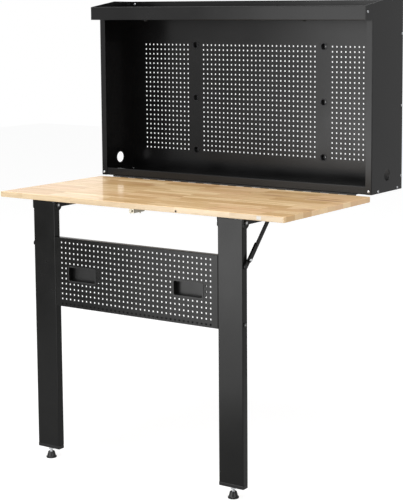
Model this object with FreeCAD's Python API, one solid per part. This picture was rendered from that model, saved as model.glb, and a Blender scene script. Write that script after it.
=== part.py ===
import FreeCAD, Part

import math
import os

from FreeCAD import Vector

# Wall mounted folding workbench, millimetres.
# Origin: centre of the six wall bolts, on the wall. +X right, +Y into the wall, +Z up.
# Left and right are as seen from the front. The bench is drawn open, standing on its legs.

# Clearances
fit = 0.05              # radial running fit of pins, screws and bolts in their holes
running_gap = 0.3       # between flat faces that slide past each other

# Cutting tools run this far past the faces they cut
over = 1.0

# Cabinet case, folded from sheet
cabinet_width = 1000.0
cabinet_depth = 190.0
cabinet_height = 563.0
sheet = 1.5
bend = 2.5              # outside radius of a fold
opening_height = 503.0  # from the case's bottom to the underside of the hood
front_flange = 20.5     # frame down each side of the open front
weld_flange = 15.0      # upturned edges of the bottom and of the tray
flange_setback = 12.0   # of those edges, behind the front
lip_height = 24.0
lip_return = 8.0
panel_setback = 22.0    # from the wall to the front face of the back panel
back_margin = 20.0      # plain edge of the back panel around its holes

# Hood above the opening, with an open tray behind its face
hood_reach = 43.3
hood_face_height = 41.0
hood_slope_end = 75.0   # where the sides' sloping top edge becomes level, behind the case's front
fascia_lower_return = 28.0
fascia_upper_return = 12.0
fascia_end_flange = 25.0
tray_lap = 4.0
tray_upstand = 25.0
buffer_radius = 5.5
buffer_height = 3.5
buffer_offset = 290.0
buffer_reach = 30.0

# Pegboard holes of the back panel
hole_size = 5.0
back_pitch = 15.5
back_columns = 58
back_rows = 23
first_row_height = 81.0
bolt_columns = (13, 44)     # hole columns on which the wall bolts stand
blank_columns = 1           # columns left plain on each side of a bolt

# Wall bolt spacers
bolt_hole_radius = 5.5
spacer_rim_radius = 12.0
spacer_rim = 1.0
spacer_neck_radius = 10.5
spacer_recess_radius = 9.0
spacer_recess = 12.5

# Cable holes in the sides
cable_hole_radius = 17.5
cable_hole_behind_front = 95.0
cable_hole_height = 50.0

# Case screws
screw_radius = 2.0
screw_length = 7.0
screw_head_radius = 4.0
screw_head_height = 2.4
head_rounding = 0.45        # of a pan head, as a share of its height
side_screws_behind_front = (39.0, 160.0)
side_screw_height = 6.5
rear_screw_heights = (39.5, 250.0, 463.0)
rear_screw_from_wall = 6.0
hood_screw_reach = 31.0
hood_screw_height = 24.0
front_screw_inset = 9.5
front_screw_height = 10.0
tray_screw_inset = 13.0
tray_screw_below_top = 9.0

# Piano hinge
hinge_length = 900.0
knuckle_length = 30.0
knuckle_radius = 2.5
leaf = 1.2
pin_radius = 1.25
cabinet_leaf_depth = 25.0
cabinet_leaf_screw_inset = 15.0     # behind the case's front
board_leaf_height = 14.0
hinge_screw_pitch = 75.0
hinge_screw_radius = 1.6
hinge_screw_head_radius = 2.9
cabinet_leaf_screw_length = 5.0
board_leaf_screw_length = 14.0

# Worktop
board_width = 998.0
board_depth = 472.4
board_thickness = 16.0
board_drop = 3.8            # top of the worktop below the case's bottom
board_edge_radius = 1.2
board_corner_radius = 3.0
edge_hole_radius = 2.5      # small blind hole in the front edge
edge_hole_depth = 12.0
edge_hole_offset = 150.0
edge_hole_height = 5.0      # above the underside
worktop_height = 792.0      # top of the worktop above the floor

# Legs: channels that are open to the rear
leg_spacing = 656.8
leg_width = 80.2
leg_depth = 21.5
leg_sheet = 1.5
leg_bend = 2.0
leg_front_gap = 0.4         # leg front behind the worktop's front edge
leg_clearance = 31.8        # underside of the leg caps above the floor
leg_head_gap = 0.35         # under the rail's web when the leg is folded

# Rails that carry the legs under the worktop
rail_sheet = 2.0
rail_depth = 17.0
rail_side_gap = 0.5
rail_front_gap = 1.0
rail_lobe_radius = 17.0
rail_panel_gap = 4.0        # inner cheek to the folded cross panel
rail_corner_radius = 4.0
rail_screw_radius = 2.2
rail_screw_length = 14.0
rail_screw_head_radius = 4.5
rail_screw_head_height = 1.8
rail_screw_rows = (30.0, 75.0)
rail_screw_inset = 20.0

# Leg pivots
pivot_behind_leg_front = 13.0
pivot_below_board = 11.2
pivot_bolt_radius = 4.0
pivot_head_radius = 6.5
pivot_head_height = 3.5
pivot_nut_flats = 13.0
pivot_nut_height = 5.0
pivot_bolt_tip = 1.5

# Folding stays on the outer side of each leg
stay_width = 14.0
stay_thickness = 3.0
stay_foot_below_pivot = 118.0
stay_foot_ahead = 3.0       # of the leg pivot
stay_head_behind_pivot = 104.0
stay_tail = 49.0            # upper link past the knee
stay_pin_radius = 3.0
stay_pin_head_radius = 5.0
stay_pin_head_height = 2.5
stay_sunk_head = 1.6
knee_rivet_radius = 4.0
knee_rivet_height = 1.5
stud_radius = 4.2
stud_height = 4.0

# Cross panel between the legs
panel_below_pivot = 93.0
panel_height = 203.0
panel_depth = 18.0
panel_sheet = 1.5
panel_bend = 2.0
panel_return = 10.0         # upturned rear edge of the panel's bottom
panel_pitch = 15.07
panel_columns = 36
panel_rows = 13
panel_first_row = 13.7      # below the panel's top edge
cross_bolt_radius = 3.0
cross_head_radius = 5.5
cross_head_height = 3.2
cross_nut_flats = 10.0
cross_nut_height = 5.0
cross_bolt_tip = 1.0        # past the nut
lower_bolt_above_edge = 19.0

# Handle cups in the cross panel
cup_columns = (2, 8)
cup_rows = (5, 7)
cup_width = 98.7
cup_height = 42.0
cup_corner = 5.0
cup_wall = 1.2
cup_rim = 3.0
cup_rim_thickness = 0.8
cup_gap = 0.2

# Leg caps and levelling feet
cap_height = 10.5
cap_overhang = 0.5
cap_edge_radius = 1.5
cap_plug = 24.0
cap_plug_gap = 0.1
stud_foot_radius = 4.0
stud_foot_top = 28.0        # above the cap's underside
stud_foot_seat = 10.0       # into the pad
pad_radius = 15.5
pad_top_radius = 9.6
pad_height = 18.5
pad_rim = 4.0
pad_dish_radius = 8.0
pad_dish = 3.0
locknut_flats = 13.0
locknut_height = 6.5

# Sliding latch under the worktop's front edge
latch_offset = -4.5
latch_width = 16.0
latch_height = 12.7
latch_length = 50.0
latch_edge_radius = 3.2
latch_ear = 9.0
latch_ear_thickness = 2.0
latch_ear_length = 26.0
latch_bolt_radius = 4.0
latch_bolt_length = 54.0
latch_bolt_bevel = 1.3
latch_tip_reach = 4.0       # of the drawn-back bolt, ahead of the worktop
latch_travel = 30.0
latch_knob_radius = 2.5
latch_knob_back = 44.0      # behind the bolt's tip
latch_knob_reach = 4.0
latch_slot_gap = 1.0
keeper_gap = 1.0            # slot in the hood around the bolt
latch_screw_radius = 1.75
latch_screw_length = 12.0
latch_screw_head_radius = 3.2
latch_screw_head_height = 1.6

# Places worked out from the sizes above
half_width = cabinet_width / 2
inner_half = half_width - sheet
front_y = -cabinet_depth
panel_front_y = -panel_setback
panel_back_y = panel_front_y + sheet
bottom_z = -(first_row_height + (back_rows - 1) / 2 * back_pitch)
top_z = bottom_z + cabinet_height
opening_top_z = bottom_z + opening_height
hood_front_y = front_y - hood_reach
hood_face_top_z = opening_top_z + hood_face_height
tray_floor_z = opening_top_z + sheet

axis_y = front_y - knuckle_radius
axis_z = bottom_z - leaf
board_top_z = bottom_z - board_drop
board_under_z = board_top_z - board_thickness
board_rear_y = axis_y - knuckle_radius
board_front_y = board_rear_y - board_depth
floor_z = board_top_z - worktop_height

leg_front_y = board_front_y + leg_front_gap
leg_rear_y = leg_front_y + leg_depth
leg_x = leg_spacing / 2
leg_inner_x = leg_x - leg_width / 2
leg_outer_x = leg_x + leg_width / 2
pivot = Vector(0, leg_front_y + pivot_behind_leg_front, board_under_z - pivot_below_board)
cap_bottom_z = floor_z + leg_clearance
leg_bottom_z = cap_bottom_z + cap_height
leg_head_radius = pivot_below_board - rail_sheet - leg_head_gap

cheek_inner_x = leg_inner_x - rail_side_gap - rail_sheet
cheek_outer_x = leg_outer_x + rail_side_gap + rail_sheet
rail_front_y = board_front_y + rail_front_gap
rail_web_z = board_under_z - rail_sheet
rail_inner_length = panel_below_pivot - rail_panel_gap

# The stay's knee stands on the line from foot to head when open, and both links lie level when folded
stay_foot = pivot + Vector(0, -stay_foot_ahead, -stay_foot_below_pivot)
stay_head = pivot + Vector(0, stay_head_behind_pivot, -stay_foot_ahead)
stay_open = (stay_head - stay_foot).Length
stay_folded = stay_foot_below_pivot - stay_head_behind_pivot
upper_link = (stay_open + stay_folded) / 2
stay_line = (stay_foot - stay_head).normalize()
knee = stay_head + stay_line * upper_link
stud_place = knee + stay_line * stay_tail
lower_link_x = cheek_outer_x + running_gap
upper_link_x = lower_link_x + stay_thickness + running_gap
upper_link_face_x = upper_link_x + stay_thickness

panel_top_z = pivot.z - panel_below_pivot
panel_bottom_z = panel_top_z - panel_height
panel_rear_y = leg_front_y + panel_depth
lower_bolt_z = panel_bottom_z + lower_bolt_above_edge

latch_bolt_z = board_under_z - latch_height / 2
latch_tip_y = board_front_y - latch_tip_reach
# where the folded worktop puts the latch bolt
keeper_y = axis_y + (latch_bolt_z - axis_z)

foot_y = leg_front_y + leg_depth / 2


def box(x0, x1, y0, y1, z0, z1):
    """A block between two places on each axis."""
    return Part.makeBox(x1 - x0, y1 - y0, z1 - z0, Vector(x0, y0, z0))


def cylinder(radius, start, end):
    """A round bar from start to end."""
    return Part.makeCylinder(radius, (end - start).Length, start, end - start)


def bar_x(radius, x0, x1, centre):
    """A round bar along X, level with a point."""
    return cylinder(radius, Vector(x0, centre.y, centre.z), Vector(x1, centre.y, centre.z))


def hexagon(across_flats, start, end):
    """A six-sided bar from start to end."""
    along = (end - start).normalize()
    side = Vector(0, 0, 1) if abs(along.z) < 0.5 else Vector(1, 0, 0)
    corners = []
    for corner in range(7):
        turn = FreeCAD.Rotation(along, 60 * corner)
        corners.append(start + turn.multVec(side) * (across_flats / math.sqrt(3)))
    return Part.Face(Part.makePolygon(corners)).extrude(end - start)


def nut(across_flats, bore, start, end):
    """A hexagon nut with a plain bore."""
    return hexagon(across_flats, start, end).cut(cylinder(bore + fit, start, end))


def fuse(shapes):
    """One solid from touching shapes."""
    joined = shapes[0]
    for shape in shapes[1:]:
        joined = joined.fuse(shape)
    return joined.removeSplitter()


def cut_all(shape, tools):
    """A shape less each of the tools."""
    return shape.cut(Part.makeCompound(tools)) if tools else shape


def mirrored(shape):
    """The same shape on the other side of the bench."""
    return shape.mirror(Vector(0, 0, 0), Vector(1, 0, 0))


def both_sides(shapes):
    """Right-hand shapes followed by their left-hand twins."""
    return shapes + [mirrored(shape) for shape in shapes]


def straight_edges(shape, wanted):
    """The straight edges whose middle and direction a test accepts."""
    found = []
    for edge in shape.Edges:
        if edge.Curve.TypeId != "Part::GeomLine":
            continue
        first, last = edge.Vertexes[0].Point, edge.Vertexes[-1].Point
        if wanted((first + last) / 2, (last - first).normalize()):
            found.append(edge)
    return found


def near(value, target):
    """Whether two lengths are the same."""
    return abs(value - target) < 0.01


def rounded_path(points, radii):
    """Edges through the points, with an arc of the given radius at each inner point."""
    edges = []
    place = points[0]
    for before, corner, after, radius in zip(points, points[1:], points[2:], radii):
        back = (before - corner).normalize()
        on = (after - corner).normalize()
        half = back.getAngle(on) / 2
        start = corner + back * (radius / math.tan(half))
        end = corner + on * (radius / math.tan(half))
        middle = corner + (back + on).normalize() * (radius / math.sin(half) - radius)
        edges += [Part.LineSegment(place, start).toShape(), Part.Arc(start, middle, end).toShape()]
        place = end
    return edges + [Part.LineSegment(place, points[-1]).toShape()]


def folded_sheet(points, thickness, fold, sweep):
    """Sheet folded along a path of points on its outer side, and as long as the sweep.

    The sheet lies on the left of the path, seen with the sweep pointing at the viewer.
    """
    normal = Vector(sweep).normalize()
    steps = [(b - a).normalize() for a, b in zip(points, points[1:])]
    sides = [normal.cross(step) for step in steps]
    inner = [points[0] + sides[0] * thickness]
    for corner, before, after in zip(points[1:], sides, sides[1:]):
        inner.append(corner + (before + after) * (thickness / (1 + before.dot(after))))
    inner.append(points[-1] + sides[-1] * thickness)
    folds = len(points) - 2
    outside = rounded_path(points, [fold] * folds)
    inside = rounded_path(inner, [fold - thickness] * folds)
    ends = [
        Part.LineSegment(points[0], inner[0]).toShape(),
        Part.LineSegment(points[-1], inner[-1]).toShape(),
    ]
    outline = Part.Wire(Part.__sortEdges__(outside + inside + ends))
    return Part.Face(outline).extrude(sweep)


def square_hole(x, y, z):
    """Outline of one pegboard hole."""
    half = hole_size / 2
    corners = [(-half, -half), (half, -half), (half, half), (-half, half), (-half, -half)]
    return Part.makePolygon([Vector(x + dx, y, z + dz) for dx, dz in corners])


def rounded_rectangle(x0, x1, z0, z1, y, radius):
    """Upright outline with four round corners."""
    middle = (x0 + x1) / 2
    corners = [(middle, z0), (x1, z0), (x1, z1), (x0, z1), (x0, z0), (middle, z0)]
    return Part.Wire(rounded_path([Vector(x, y, z) for x, z in corners], [radius] * 4))


def circle(x, y, z, radius):
    """Upright round outline."""
    return Part.Wire(Part.makeCircle(radius, Vector(x, y, z), Vector(0, 1, 0)))


def as_hole(outline):
    """The outline, run the other way round than the edge of a plate."""
    if Part.Face(outline).normalAt(0, 0).y < 0:
        outline.reverse()
    return outline


def pegboard(x0, x1, z0, z1, y, thickness, centres, cutouts):
    """An upright plate with a square hole round each of the centres, and other cut-outs."""
    corners = [(x0, z0), (x1, z0), (x1, z1), (x0, z1), (x0, z0)]
    outline = Part.makePolygon([Vector(cx, y, cz) for cx, cz in corners])
    holes = [as_hole(hole) for hole in [square_hole(x, y, z) for x, z in centres] + cutouts]
    return Part.Face([outline] + holes).extrude(Vector(0, thickness, 0))


def pan_screw(radius, length, head_radius, head_height, seat, out):
    """A pan-head screw whose head seats at a point and whose head faces out."""
    head = cylinder(head_radius, seat, seat + out * head_height)
    rim = [edge for edge in head.Edges if near((edge.CenterOfMass - seat).dot(out), head_height)]
    head = head.makeFillet(head_height * head_rounding, rim)
    return fuse([head, cylinder(radius, seat - out * length, seat)])


def countersunk_screw(radius, length, head_radius, depth, face, out):
    """A screw with a flush conical head in a sheet of the given depth."""
    head = Part.makeCone(radius, head_radius, depth, face - out * depth, out)
    return fuse([head, cylinder(radius, face - out * length, face - out * depth)])


def save(node, shapes):
    """Write one node, made of one or more separate solids."""
    whole = shapes[0] if len(shapes) == 1 else Part.makeCompound(shapes)
    print(node, len(whole.Solids), "solids", round(whole.Volume), "mm3")
    whole.exportStep("parts/" + node + ".step")


# Cabinet screws: seat of the head, and the way the head faces, for the right side
def case_screw_places():
    """Screws of the right side and of the front and rear corners."""
    outward = Vector(1, 0, 0)
    places = []
    for behind in side_screws_behind_front:
        places.append((Vector(half_width, front_y + behind, bottom_z + side_screw_height), outward))
    for height in rear_screw_heights:
        places.append((Vector(half_width, -rear_screw_from_wall, bottom_z + height), outward))
    hood = Vector(half_width, front_y - hood_screw_reach, opening_top_z + hood_screw_height)
    places.append((hood, outward))
    forward = Vector(0, -1, 0)
    corner = Vector(half_width - front_screw_inset, front_y, bottom_z + front_screw_height)
    places.append((corner, forward))
    tray = Vector(half_width - tray_screw_inset, panel_front_y, top_z - tray_screw_below_top)
    places.append((tray, forward))
    return places


def case_screw_holes():
    """Bars that cut the holes of every case screw, on both sides."""
    holes = []
    for seat, out in case_screw_places():
        holes.append(cylinder(screw_radius + fit, seat - out * screw_length, seat + out * over))
    return both_sides(holes)


def side_panel():
    """Right side: a plate with a front flange, and a wing that reaches forward beside the hood."""
    path = [
        Vector(half_width, 0, bottom_z),
        Vector(half_width, front_y, bottom_z),
        Vector(half_width - front_flange, front_y, bottom_z),
    ]
    lower = folded_sheet(list(reversed(path)), sheet, bend, Vector(0, 0, opening_height))
    outline = [
        (hood_front_y, opening_top_z),
        (hood_front_y, hood_face_top_z),
        (front_y + hood_slope_end, top_z),
        (0, top_z),
        (0, opening_top_z),
        (hood_front_y, opening_top_z),
    ]
    corners = [Vector(inner_half, y, z) for y, z in outline]
    wing = Part.Face(Part.makePolygon(corners)).extrude(Vector(sheet, 0, 0))
    cable_y = front_y + cable_hole_behind_front
    centre = Vector(0, cable_y, bottom_z + cable_hole_height)
    cable_hole = bar_x(cable_hole_radius, inner_half - over, half_width + over, centre)
    return cut_all(fuse([lower, wing]), [cable_hole])


def bottom_panel():
    """Case bottom: floor with a lip and its return at the front, and upturned ends."""
    lip_y = front_y + sheet
    path = [
        Vector(-inner_half, lip_y + lip_return, bottom_z + lip_height),
        Vector(-inner_half, lip_y, bottom_z + lip_height),
        Vector(-inner_half, lip_y, bottom_z),
        Vector(-inner_half, 0, bottom_z),
    ]
    floor = folded_sheet(path, sheet, bend, Vector(2 * inner_half, 0, 0))
    end = box(
        inner_half - sheet,
        inner_half,
        front_y + flange_setback,
        panel_front_y - sheet,
        bottom_z,
        bottom_z + weld_flange,
    )
    return fuse([floor] + both_sides([end]))


def back_hole_centres():
    """Pegboard holes of the back panel, with plain strips at the wall bolts."""
    centres = []
    for column in range(back_columns):
        if any(abs(column - bolt) <= blank_columns for bolt in bolt_columns):
            continue
        for row in range(back_rows):
            x = (column - (back_columns - 1) / 2) * back_pitch
            centres.append((x, (row - (back_rows - 1) / 2) * back_pitch))
    return centres


def wall_bolt_centres():
    """The six wall bolts: two columns, at the bottom, middle and top hole rows."""
    reach = (back_rows - 1) / 2 * back_pitch
    columns = [(column - (back_columns - 1) / 2) * back_pitch for column in bolt_columns]
    return [(x, z) for x in columns for z in (-reach, 0, reach)]


def back_panel():
    """Perforated back with flanges that reach the wall."""
    low = bottom_z + sheet
    edge = inner_half - back_margin
    window = (-edge, edge, low + back_margin, top_z - back_margin)
    frame = box(-inner_half, inner_half, panel_front_y, 0, low, top_z)
    inside = box(
        -inner_half + sheet, inner_half - sheet, panel_back_y, over, low + sheet, top_z - sheet
    )
    opening = box(*window[:2], panel_front_y - over, over, *window[2:])
    frame = cut_all(frame, [inside, opening] + case_screw_holes())
    sockets = [
        circle(x, panel_front_y, z, spacer_neck_radius + fit) for x, z in wall_bolt_centres()
    ]
    plate = pegboard(*window, panel_front_y, sheet, back_hole_centres(), sockets)
    return frame.fuse(plate)


def wall_spacers():
    """Cups that take the wall bolts' heads behind the pegboard and stand on the wall."""
    spacers = []
    for x, z in wall_bolt_centres():
        rim_front = Vector(x, panel_front_y - spacer_rim, z)
        panel_face = Vector(x, panel_front_y, z)
        recess_end = Vector(x, panel_front_y + spacer_recess, z)
        wall = Vector(x, 0, z)
        rim = cylinder(spacer_rim_radius, rim_front, panel_face)
        neck = cylinder(spacer_neck_radius, panel_face, wall)
        recess = cylinder(spacer_recess_radius, rim_front, recess_end)
        bore = cylinder(bolt_hole_radius, recess_end, wall)
        spacers.append(cut_all(fuse([rim, neck]), [recess, bore]))
    return spacers


def hood_fascia():
    """Hood face with returns above and below, ends, and a slot for the latch bolt."""
    path = [
        Vector(-inner_half, hood_front_y + fascia_upper_return, hood_face_top_z),
        Vector(-inner_half, hood_front_y, hood_face_top_z),
        Vector(-inner_half, hood_front_y, opening_top_z),
        Vector(-inner_half, hood_front_y + fascia_lower_return, opening_top_z),
    ]
    face = folded_sheet(path, sheet, bend, Vector(2 * inner_half, 0, 0))
    end = box(
        inner_half - sheet,
        inner_half,
        hood_front_y + sheet,
        hood_front_y + fascia_end_flange,
        opening_top_z,
        hood_face_top_z,
    )
    reach = latch_bolt_radius + keeper_gap
    slot = box(
        latch_offset - reach,
        latch_offset + reach,
        keeper_y - reach,
        keeper_y + reach,
        opening_top_z - over,
        opening_top_z + sheet + over,
    )
    trim = Part.Face(Part.Wire(rounded_path(path, [bend, bend]) + [
        Part.LineSegment(path[-1], path[0]).toShape(),
    ])).extrude(Vector(2 * inner_half, 0, 0))
    ends = [shape.common(trim) for shape in both_sides([end])]
    return cut_all(fuse([face] + ends), [slot])


def hood_tray():
    """Tray floor above the opening, lapped on the fascia's lower return."""
    tray_front_y = hood_front_y + fascia_lower_return - tray_lap
    top = tray_floor_z + sheet
    floor = box(-inner_half, inner_half, tray_front_y, panel_front_y, tray_floor_z, top)
    rear = box(
        -inner_half,
        inner_half,
        panel_front_y - sheet,
        panel_front_y,
        tray_floor_z,
        tray_floor_z + tray_upstand,
    )
    end = box(
        inner_half - sheet,
        inner_half,
        front_y + flange_setback,
        panel_front_y,
        tray_floor_z,
        tray_floor_z + weld_flange,
    )
    return fuse([floor, rear] + both_sides([end]))


def hood_buffers():
    """Two round bumpers under the fascia's lower return."""
    top = Vector(buffer_offset, front_y - buffer_reach, opening_top_z)
    return both_sides([cylinder(buffer_radius, top - Vector(0, 0, buffer_height), top)])


def case_screws():
    """Every pan-head screw of the case."""
    screws = []
    for seat, out in case_screw_places():
        size = (screw_radius, screw_length, screw_head_radius, screw_head_height)
        screws.append(pan_screw(*size, seat, out))
    return both_sides(screws)


def hinge_screw_x():
    """Places along X of the hinge's screws."""
    count = int(hinge_length // hinge_screw_pitch)
    return [(place - (count - 1) / 2) * hinge_screw_pitch for place in range(count)]


def cabinet_leaf_screw_seats():
    """Lower face of the cabinet's leaf at each screw."""
    y = front_y + cabinet_leaf_screw_inset
    return [Vector(x, y, bottom_z - leaf) for x in hinge_screw_x()]


def board_leaf_screw_seats():
    """Rear face of the worktop's leaf at each screw."""
    z = axis_z - knuckle_radius - running_gap - board_leaf_height / 2
    return [Vector(x, board_rear_y + leaf, z) for x in hinge_screw_x()]


def hinge_screws(seats, out, length):
    """Countersunk screws flush with a leaf."""
    size = (hinge_screw_radius, length, hinge_screw_head_radius, leaf)
    return [countersunk_screw(*size, seat, out) for seat in seats]


def hinge_screw_holes(seats, out, length):
    """Countersunk holes that clear those screws."""
    size = (hinge_screw_radius + fit, length + fit, hinge_screw_head_radius + fit, leaf)
    return [countersunk_screw(*size, seat, out) for seat in seats]


def hinge_leaf(first, plate, web):
    """One half of the hinge: every second knuckle, its web and the plate behind them."""
    shapes = [plate]
    count = int(hinge_length // knuckle_length)
    for place in range(first, count, 2):
        x0 = -hinge_length / 2 + place * knuckle_length + running_gap / 2
        x1 = x0 + knuckle_length - running_gap
        barrel = bar_x(knuckle_radius, x0, x1, Vector(0, axis_y, axis_z))
        shapes += [barrel, box(x0, x1, *web)]
    pin_bore = bar_x(pin_radius + fit, -hinge_length, hinge_length, Vector(0, axis_y, axis_z))
    return shapes[0].multiFuse(shapes[1:]).cut(pin_bore)


def cabinet_leaf():
    """Hinge half that is screwed under the case's bottom."""
    half = hinge_length / 2
    plate_y = front_y + running_gap
    plate = box(-half, half, plate_y, front_y + cabinet_leaf_depth, bottom_z - leaf, bottom_z)
    body = hinge_leaf(0, plate, (axis_y, plate_y, bottom_z - leaf, bottom_z))
    out = Vector(0, 0, -1)
    return cut_all(body, hinge_screw_holes(cabinet_leaf_screw_seats(), out, cabinet_leaf_screw_length))


def board_leaf():
    """Hinge half that is screwed to the worktop's rear edge."""
    half = hinge_length / 2
    rear = board_rear_y + leaf
    plate_z = axis_z - knuckle_radius - running_gap
    plate = box(-half, half, board_rear_y, rear, plate_z - board_leaf_height, plate_z)
    body = hinge_leaf(1, plate, (board_rear_y, rear, plate_z, axis_z))
    out = Vector(0, 1, 0)
    return cut_all(body, hinge_screw_holes(board_leaf_screw_seats(), out, board_leaf_screw_length))


def hinge_pin():
    """The hinge's full-length pin."""
    half = hinge_length / 2
    return bar_x(pin_radius, -half, half, Vector(0, axis_y, axis_z))


def rail_screw_seats():
    """Head seats of the right rail's four screws, on the web's underside."""
    seats = []
    for behind in rail_screw_rows:
        for side in (-1, 1):
            x = leg_x + side * rail_screw_inset
            seats.append(Vector(x, pivot.y + behind, rail_web_z))
    return seats


def latch_screw_seats():
    """Head seats of the latch's two screws, on its ears."""
    seats = []
    for side in (-1, 1):
        x = latch_offset + side * (latch_width + latch_ear) / 2
        y = rail_front_y + latch_length - latch_ear_length / 2
        seats.append(Vector(x, y, board_under_z - latch_ear_thickness))
    return seats


def worktop():
    """Wooden board with screw holes in its rear edge and underside, and a blind hole in front."""
    half = board_width / 2
    board = box(-half, half, board_front_y, board_rear_y, board_under_z, board_top_z)
    corners = straight_edges(board, lambda middle, way: near(abs(way.z), 1))
    board = board.makeFillet(board_corner_radius, corners)
    rims = [edge for edge in board.Edges if near(edge.BoundBox.ZLength, 0)]
    board = board.makeFillet(board_edge_radius, rims)
    holes = hinge_screw_holes(board_leaf_screw_seats(), Vector(0, 1, 0), board_leaf_screw_length)
    down = Vector(0, 0, -1)
    for seat in both_sides_points(rail_screw_seats()):
        holes.append(cylinder(rail_screw_radius + fit, seat - down * rail_screw_length, seat))
    for seat in latch_screw_seats():
        holes.append(cylinder(latch_screw_radius + fit, seat - down * latch_screw_length, seat))
    mouth = Vector(edge_hole_offset, board_front_y - over, board_under_z + edge_hole_height)
    holes.append(cylinder(edge_hole_radius, mouth, mouth + Vector(0, edge_hole_depth + over, 0)))
    return cut_all(board, holes)


def both_sides_points(points):
    """Right-hand points followed by their left-hand twins."""
    return points + [Vector(-point.x, point.y, point.z) for point in points]


def rail_cheek(x0, x1, reach):
    """One upright side of a rail, round below the leg pivot."""
    rear = pivot.y + reach
    low = board_under_z - rail_depth
    strip = box(x0, x1, rail_front_y, rear, low, board_under_z)
    heel = straight_edges(
        strip,
        lambda middle, way: near(abs(way.x), 1) and near(middle.y, rear) and near(middle.z, low),
    )
    strip = strip.makeFillet(rail_corner_radius, heel)
    lobe = bar_x(rail_lobe_radius, x0, x1, pivot)
    limit = box(x0, x1, rail_front_y, rear, pivot.z - 2 * rail_lobe_radius, board_under_z)
    return strip.fuse(lobe.common(limit))


def leg_rail():
    """Right rail: a web on the worktop's underside and two cheeks beside the leg."""
    outer_reach = stay_head_behind_pivot + stay_width / 2
    rear = pivot.y + outer_reach
    web = box(cheek_inner_x, cheek_outer_x, rail_front_y, rear, rail_web_z, board_under_z)
    inner = rail_cheek(cheek_inner_x, cheek_inner_x + rail_sheet, rail_inner_length)
    outer = rail_cheek(cheek_outer_x - rail_sheet, cheek_outer_x, outer_reach)
    holes = [
        bar_x(pivot_bolt_radius + fit, cheek_inner_x - over, cheek_outer_x + over, pivot),
        bar_x(stay_pin_radius + fit, cheek_outer_x - rail_sheet - over, cheek_outer_x + over, stay_head),
    ]
    up = Vector(0, 0, 1)
    for seat in rail_screw_seats():
        through = seat + up * (rail_sheet + over)
        holes.append(cylinder(rail_screw_radius + fit, seat - up * over, through))
    return cut_all(fuse([web, inner, outer]), holes)


def rail_screws():
    """Low-headed screws that hold the rails to the worktop."""
    size = (rail_screw_radius, rail_screw_length, rail_screw_head_radius, rail_screw_head_height)
    return [pan_screw(*size, seat, Vector(0, 0, -1)) for seat in both_sides_points(rail_screw_seats())]


def leg_pivot_bolt(inner_x, outer_x, head_side):
    """A bolt across one rail, with its head on the side given as -1 or 1."""
    head_x = outer_x if head_side > 0 else inner_x
    nut_x = inner_x if head_side > 0 else outer_x
    tip_x = nut_x - head_side * (pivot_nut_height + pivot_bolt_tip)
    seat = Vector(head_x, pivot.y, pivot.z)
    out = Vector(head_side, 0, 0)
    length = abs(tip_x - head_x)
    return pan_screw(pivot_bolt_radius, length, pivot_head_radius, pivot_head_height, seat, out)


def leg_pivot_nut(nut_x, side):
    """The nut of a leg pivot bolt, on the side given as -1 or 1."""
    start = Vector(nut_x, pivot.y, pivot.z)
    end = start + Vector(side * pivot_nut_height, 0, 0)
    return nut(pivot_nut_flats, pivot_bolt_radius, start, end)


def leg():
    """Right leg: a channel with a rounded top that turns in the rail."""
    path = [
        Vector(leg_outer_x, leg_rear_y, leg_bottom_z),
        Vector(leg_outer_x, leg_front_y, leg_bottom_z),
        Vector(leg_inner_x, leg_front_y, leg_bottom_z),
        Vector(leg_inner_x, leg_rear_y, leg_bottom_z),
    ]
    top = pivot.z + leg_head_radius
    up = Vector(0, 0, top - leg_bottom_z)
    channel = folded_sheet(list(reversed(path)), leg_sheet, leg_bend, up)
    x0 = leg_inner_x - over
    x1 = leg_outer_x + over
    shoulder = box(x0, x1, pivot.y, leg_rear_y + over, pivot.z, top + over)
    shoulder = shoulder.cut(bar_x(leg_head_radius, x0, x1, pivot))
    holes = [shoulder, bar_x(pivot_bolt_radius + fit, x0, x1, pivot)]
    for centre in cross_bolt_centres():
        holes.append(bar_x(cross_bolt_radius + fit, x0, x1, centre))
    return cut_all(channel, holes)


def cross_bolt_centres():
    """Upper and lower bolts that join a leg to the cross panel."""
    return [stay_foot, Vector(0, stay_foot.y, lower_bolt_z)]


def cross_bolt(centre, head_face_x, head_radius, head_height):
    """A bolt through a leg and the cross panel's end flange."""
    tip_x = leg_inner_x - panel_sheet - cross_nut_height - cross_bolt_tip
    shank = bar_x(cross_bolt_radius, tip_x, head_face_x - head_height, centre)
    head = bar_x(head_radius, head_face_x - head_height, head_face_x, centre)
    return fuse([shank, head])


def upper_cross_bolt():
    """The upper bolt is the stay's foot pivot, and its head is sunk in the lower link."""
    face_x = lower_link_x + stay_thickness
    return cross_bolt(stay_foot, face_x, stay_pin_head_radius, stay_sunk_head)


def lower_cross_bolt():
    """The lower bolt's head stands on the leg's outer side."""
    face_x = leg_outer_x + cross_head_height
    return cross_bolt(cross_bolt_centres()[1], face_x, cross_head_radius, cross_head_height)


def cross_nuts():
    """Nuts behind the cross panel's right end flange."""
    nuts = []
    for centre in cross_bolt_centres():
        start = Vector(leg_inner_x - panel_sheet, centre.y, centre.z)
        end = start - Vector(cross_nut_height, 0, 0)
        nuts.append(nut(cross_nut_flats, cross_bolt_radius, start, end))
    return nuts


def foot_spacer():
    """Tube between the leg and the stay's lower link."""
    outer = bar_x(stay_pin_head_radius, leg_outer_x, lower_link_x - fit, stay_foot)
    return outer.cut(bar_x(cross_bolt_radius + fit, leg_outer_x, lower_link_x, stay_foot))


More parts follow.
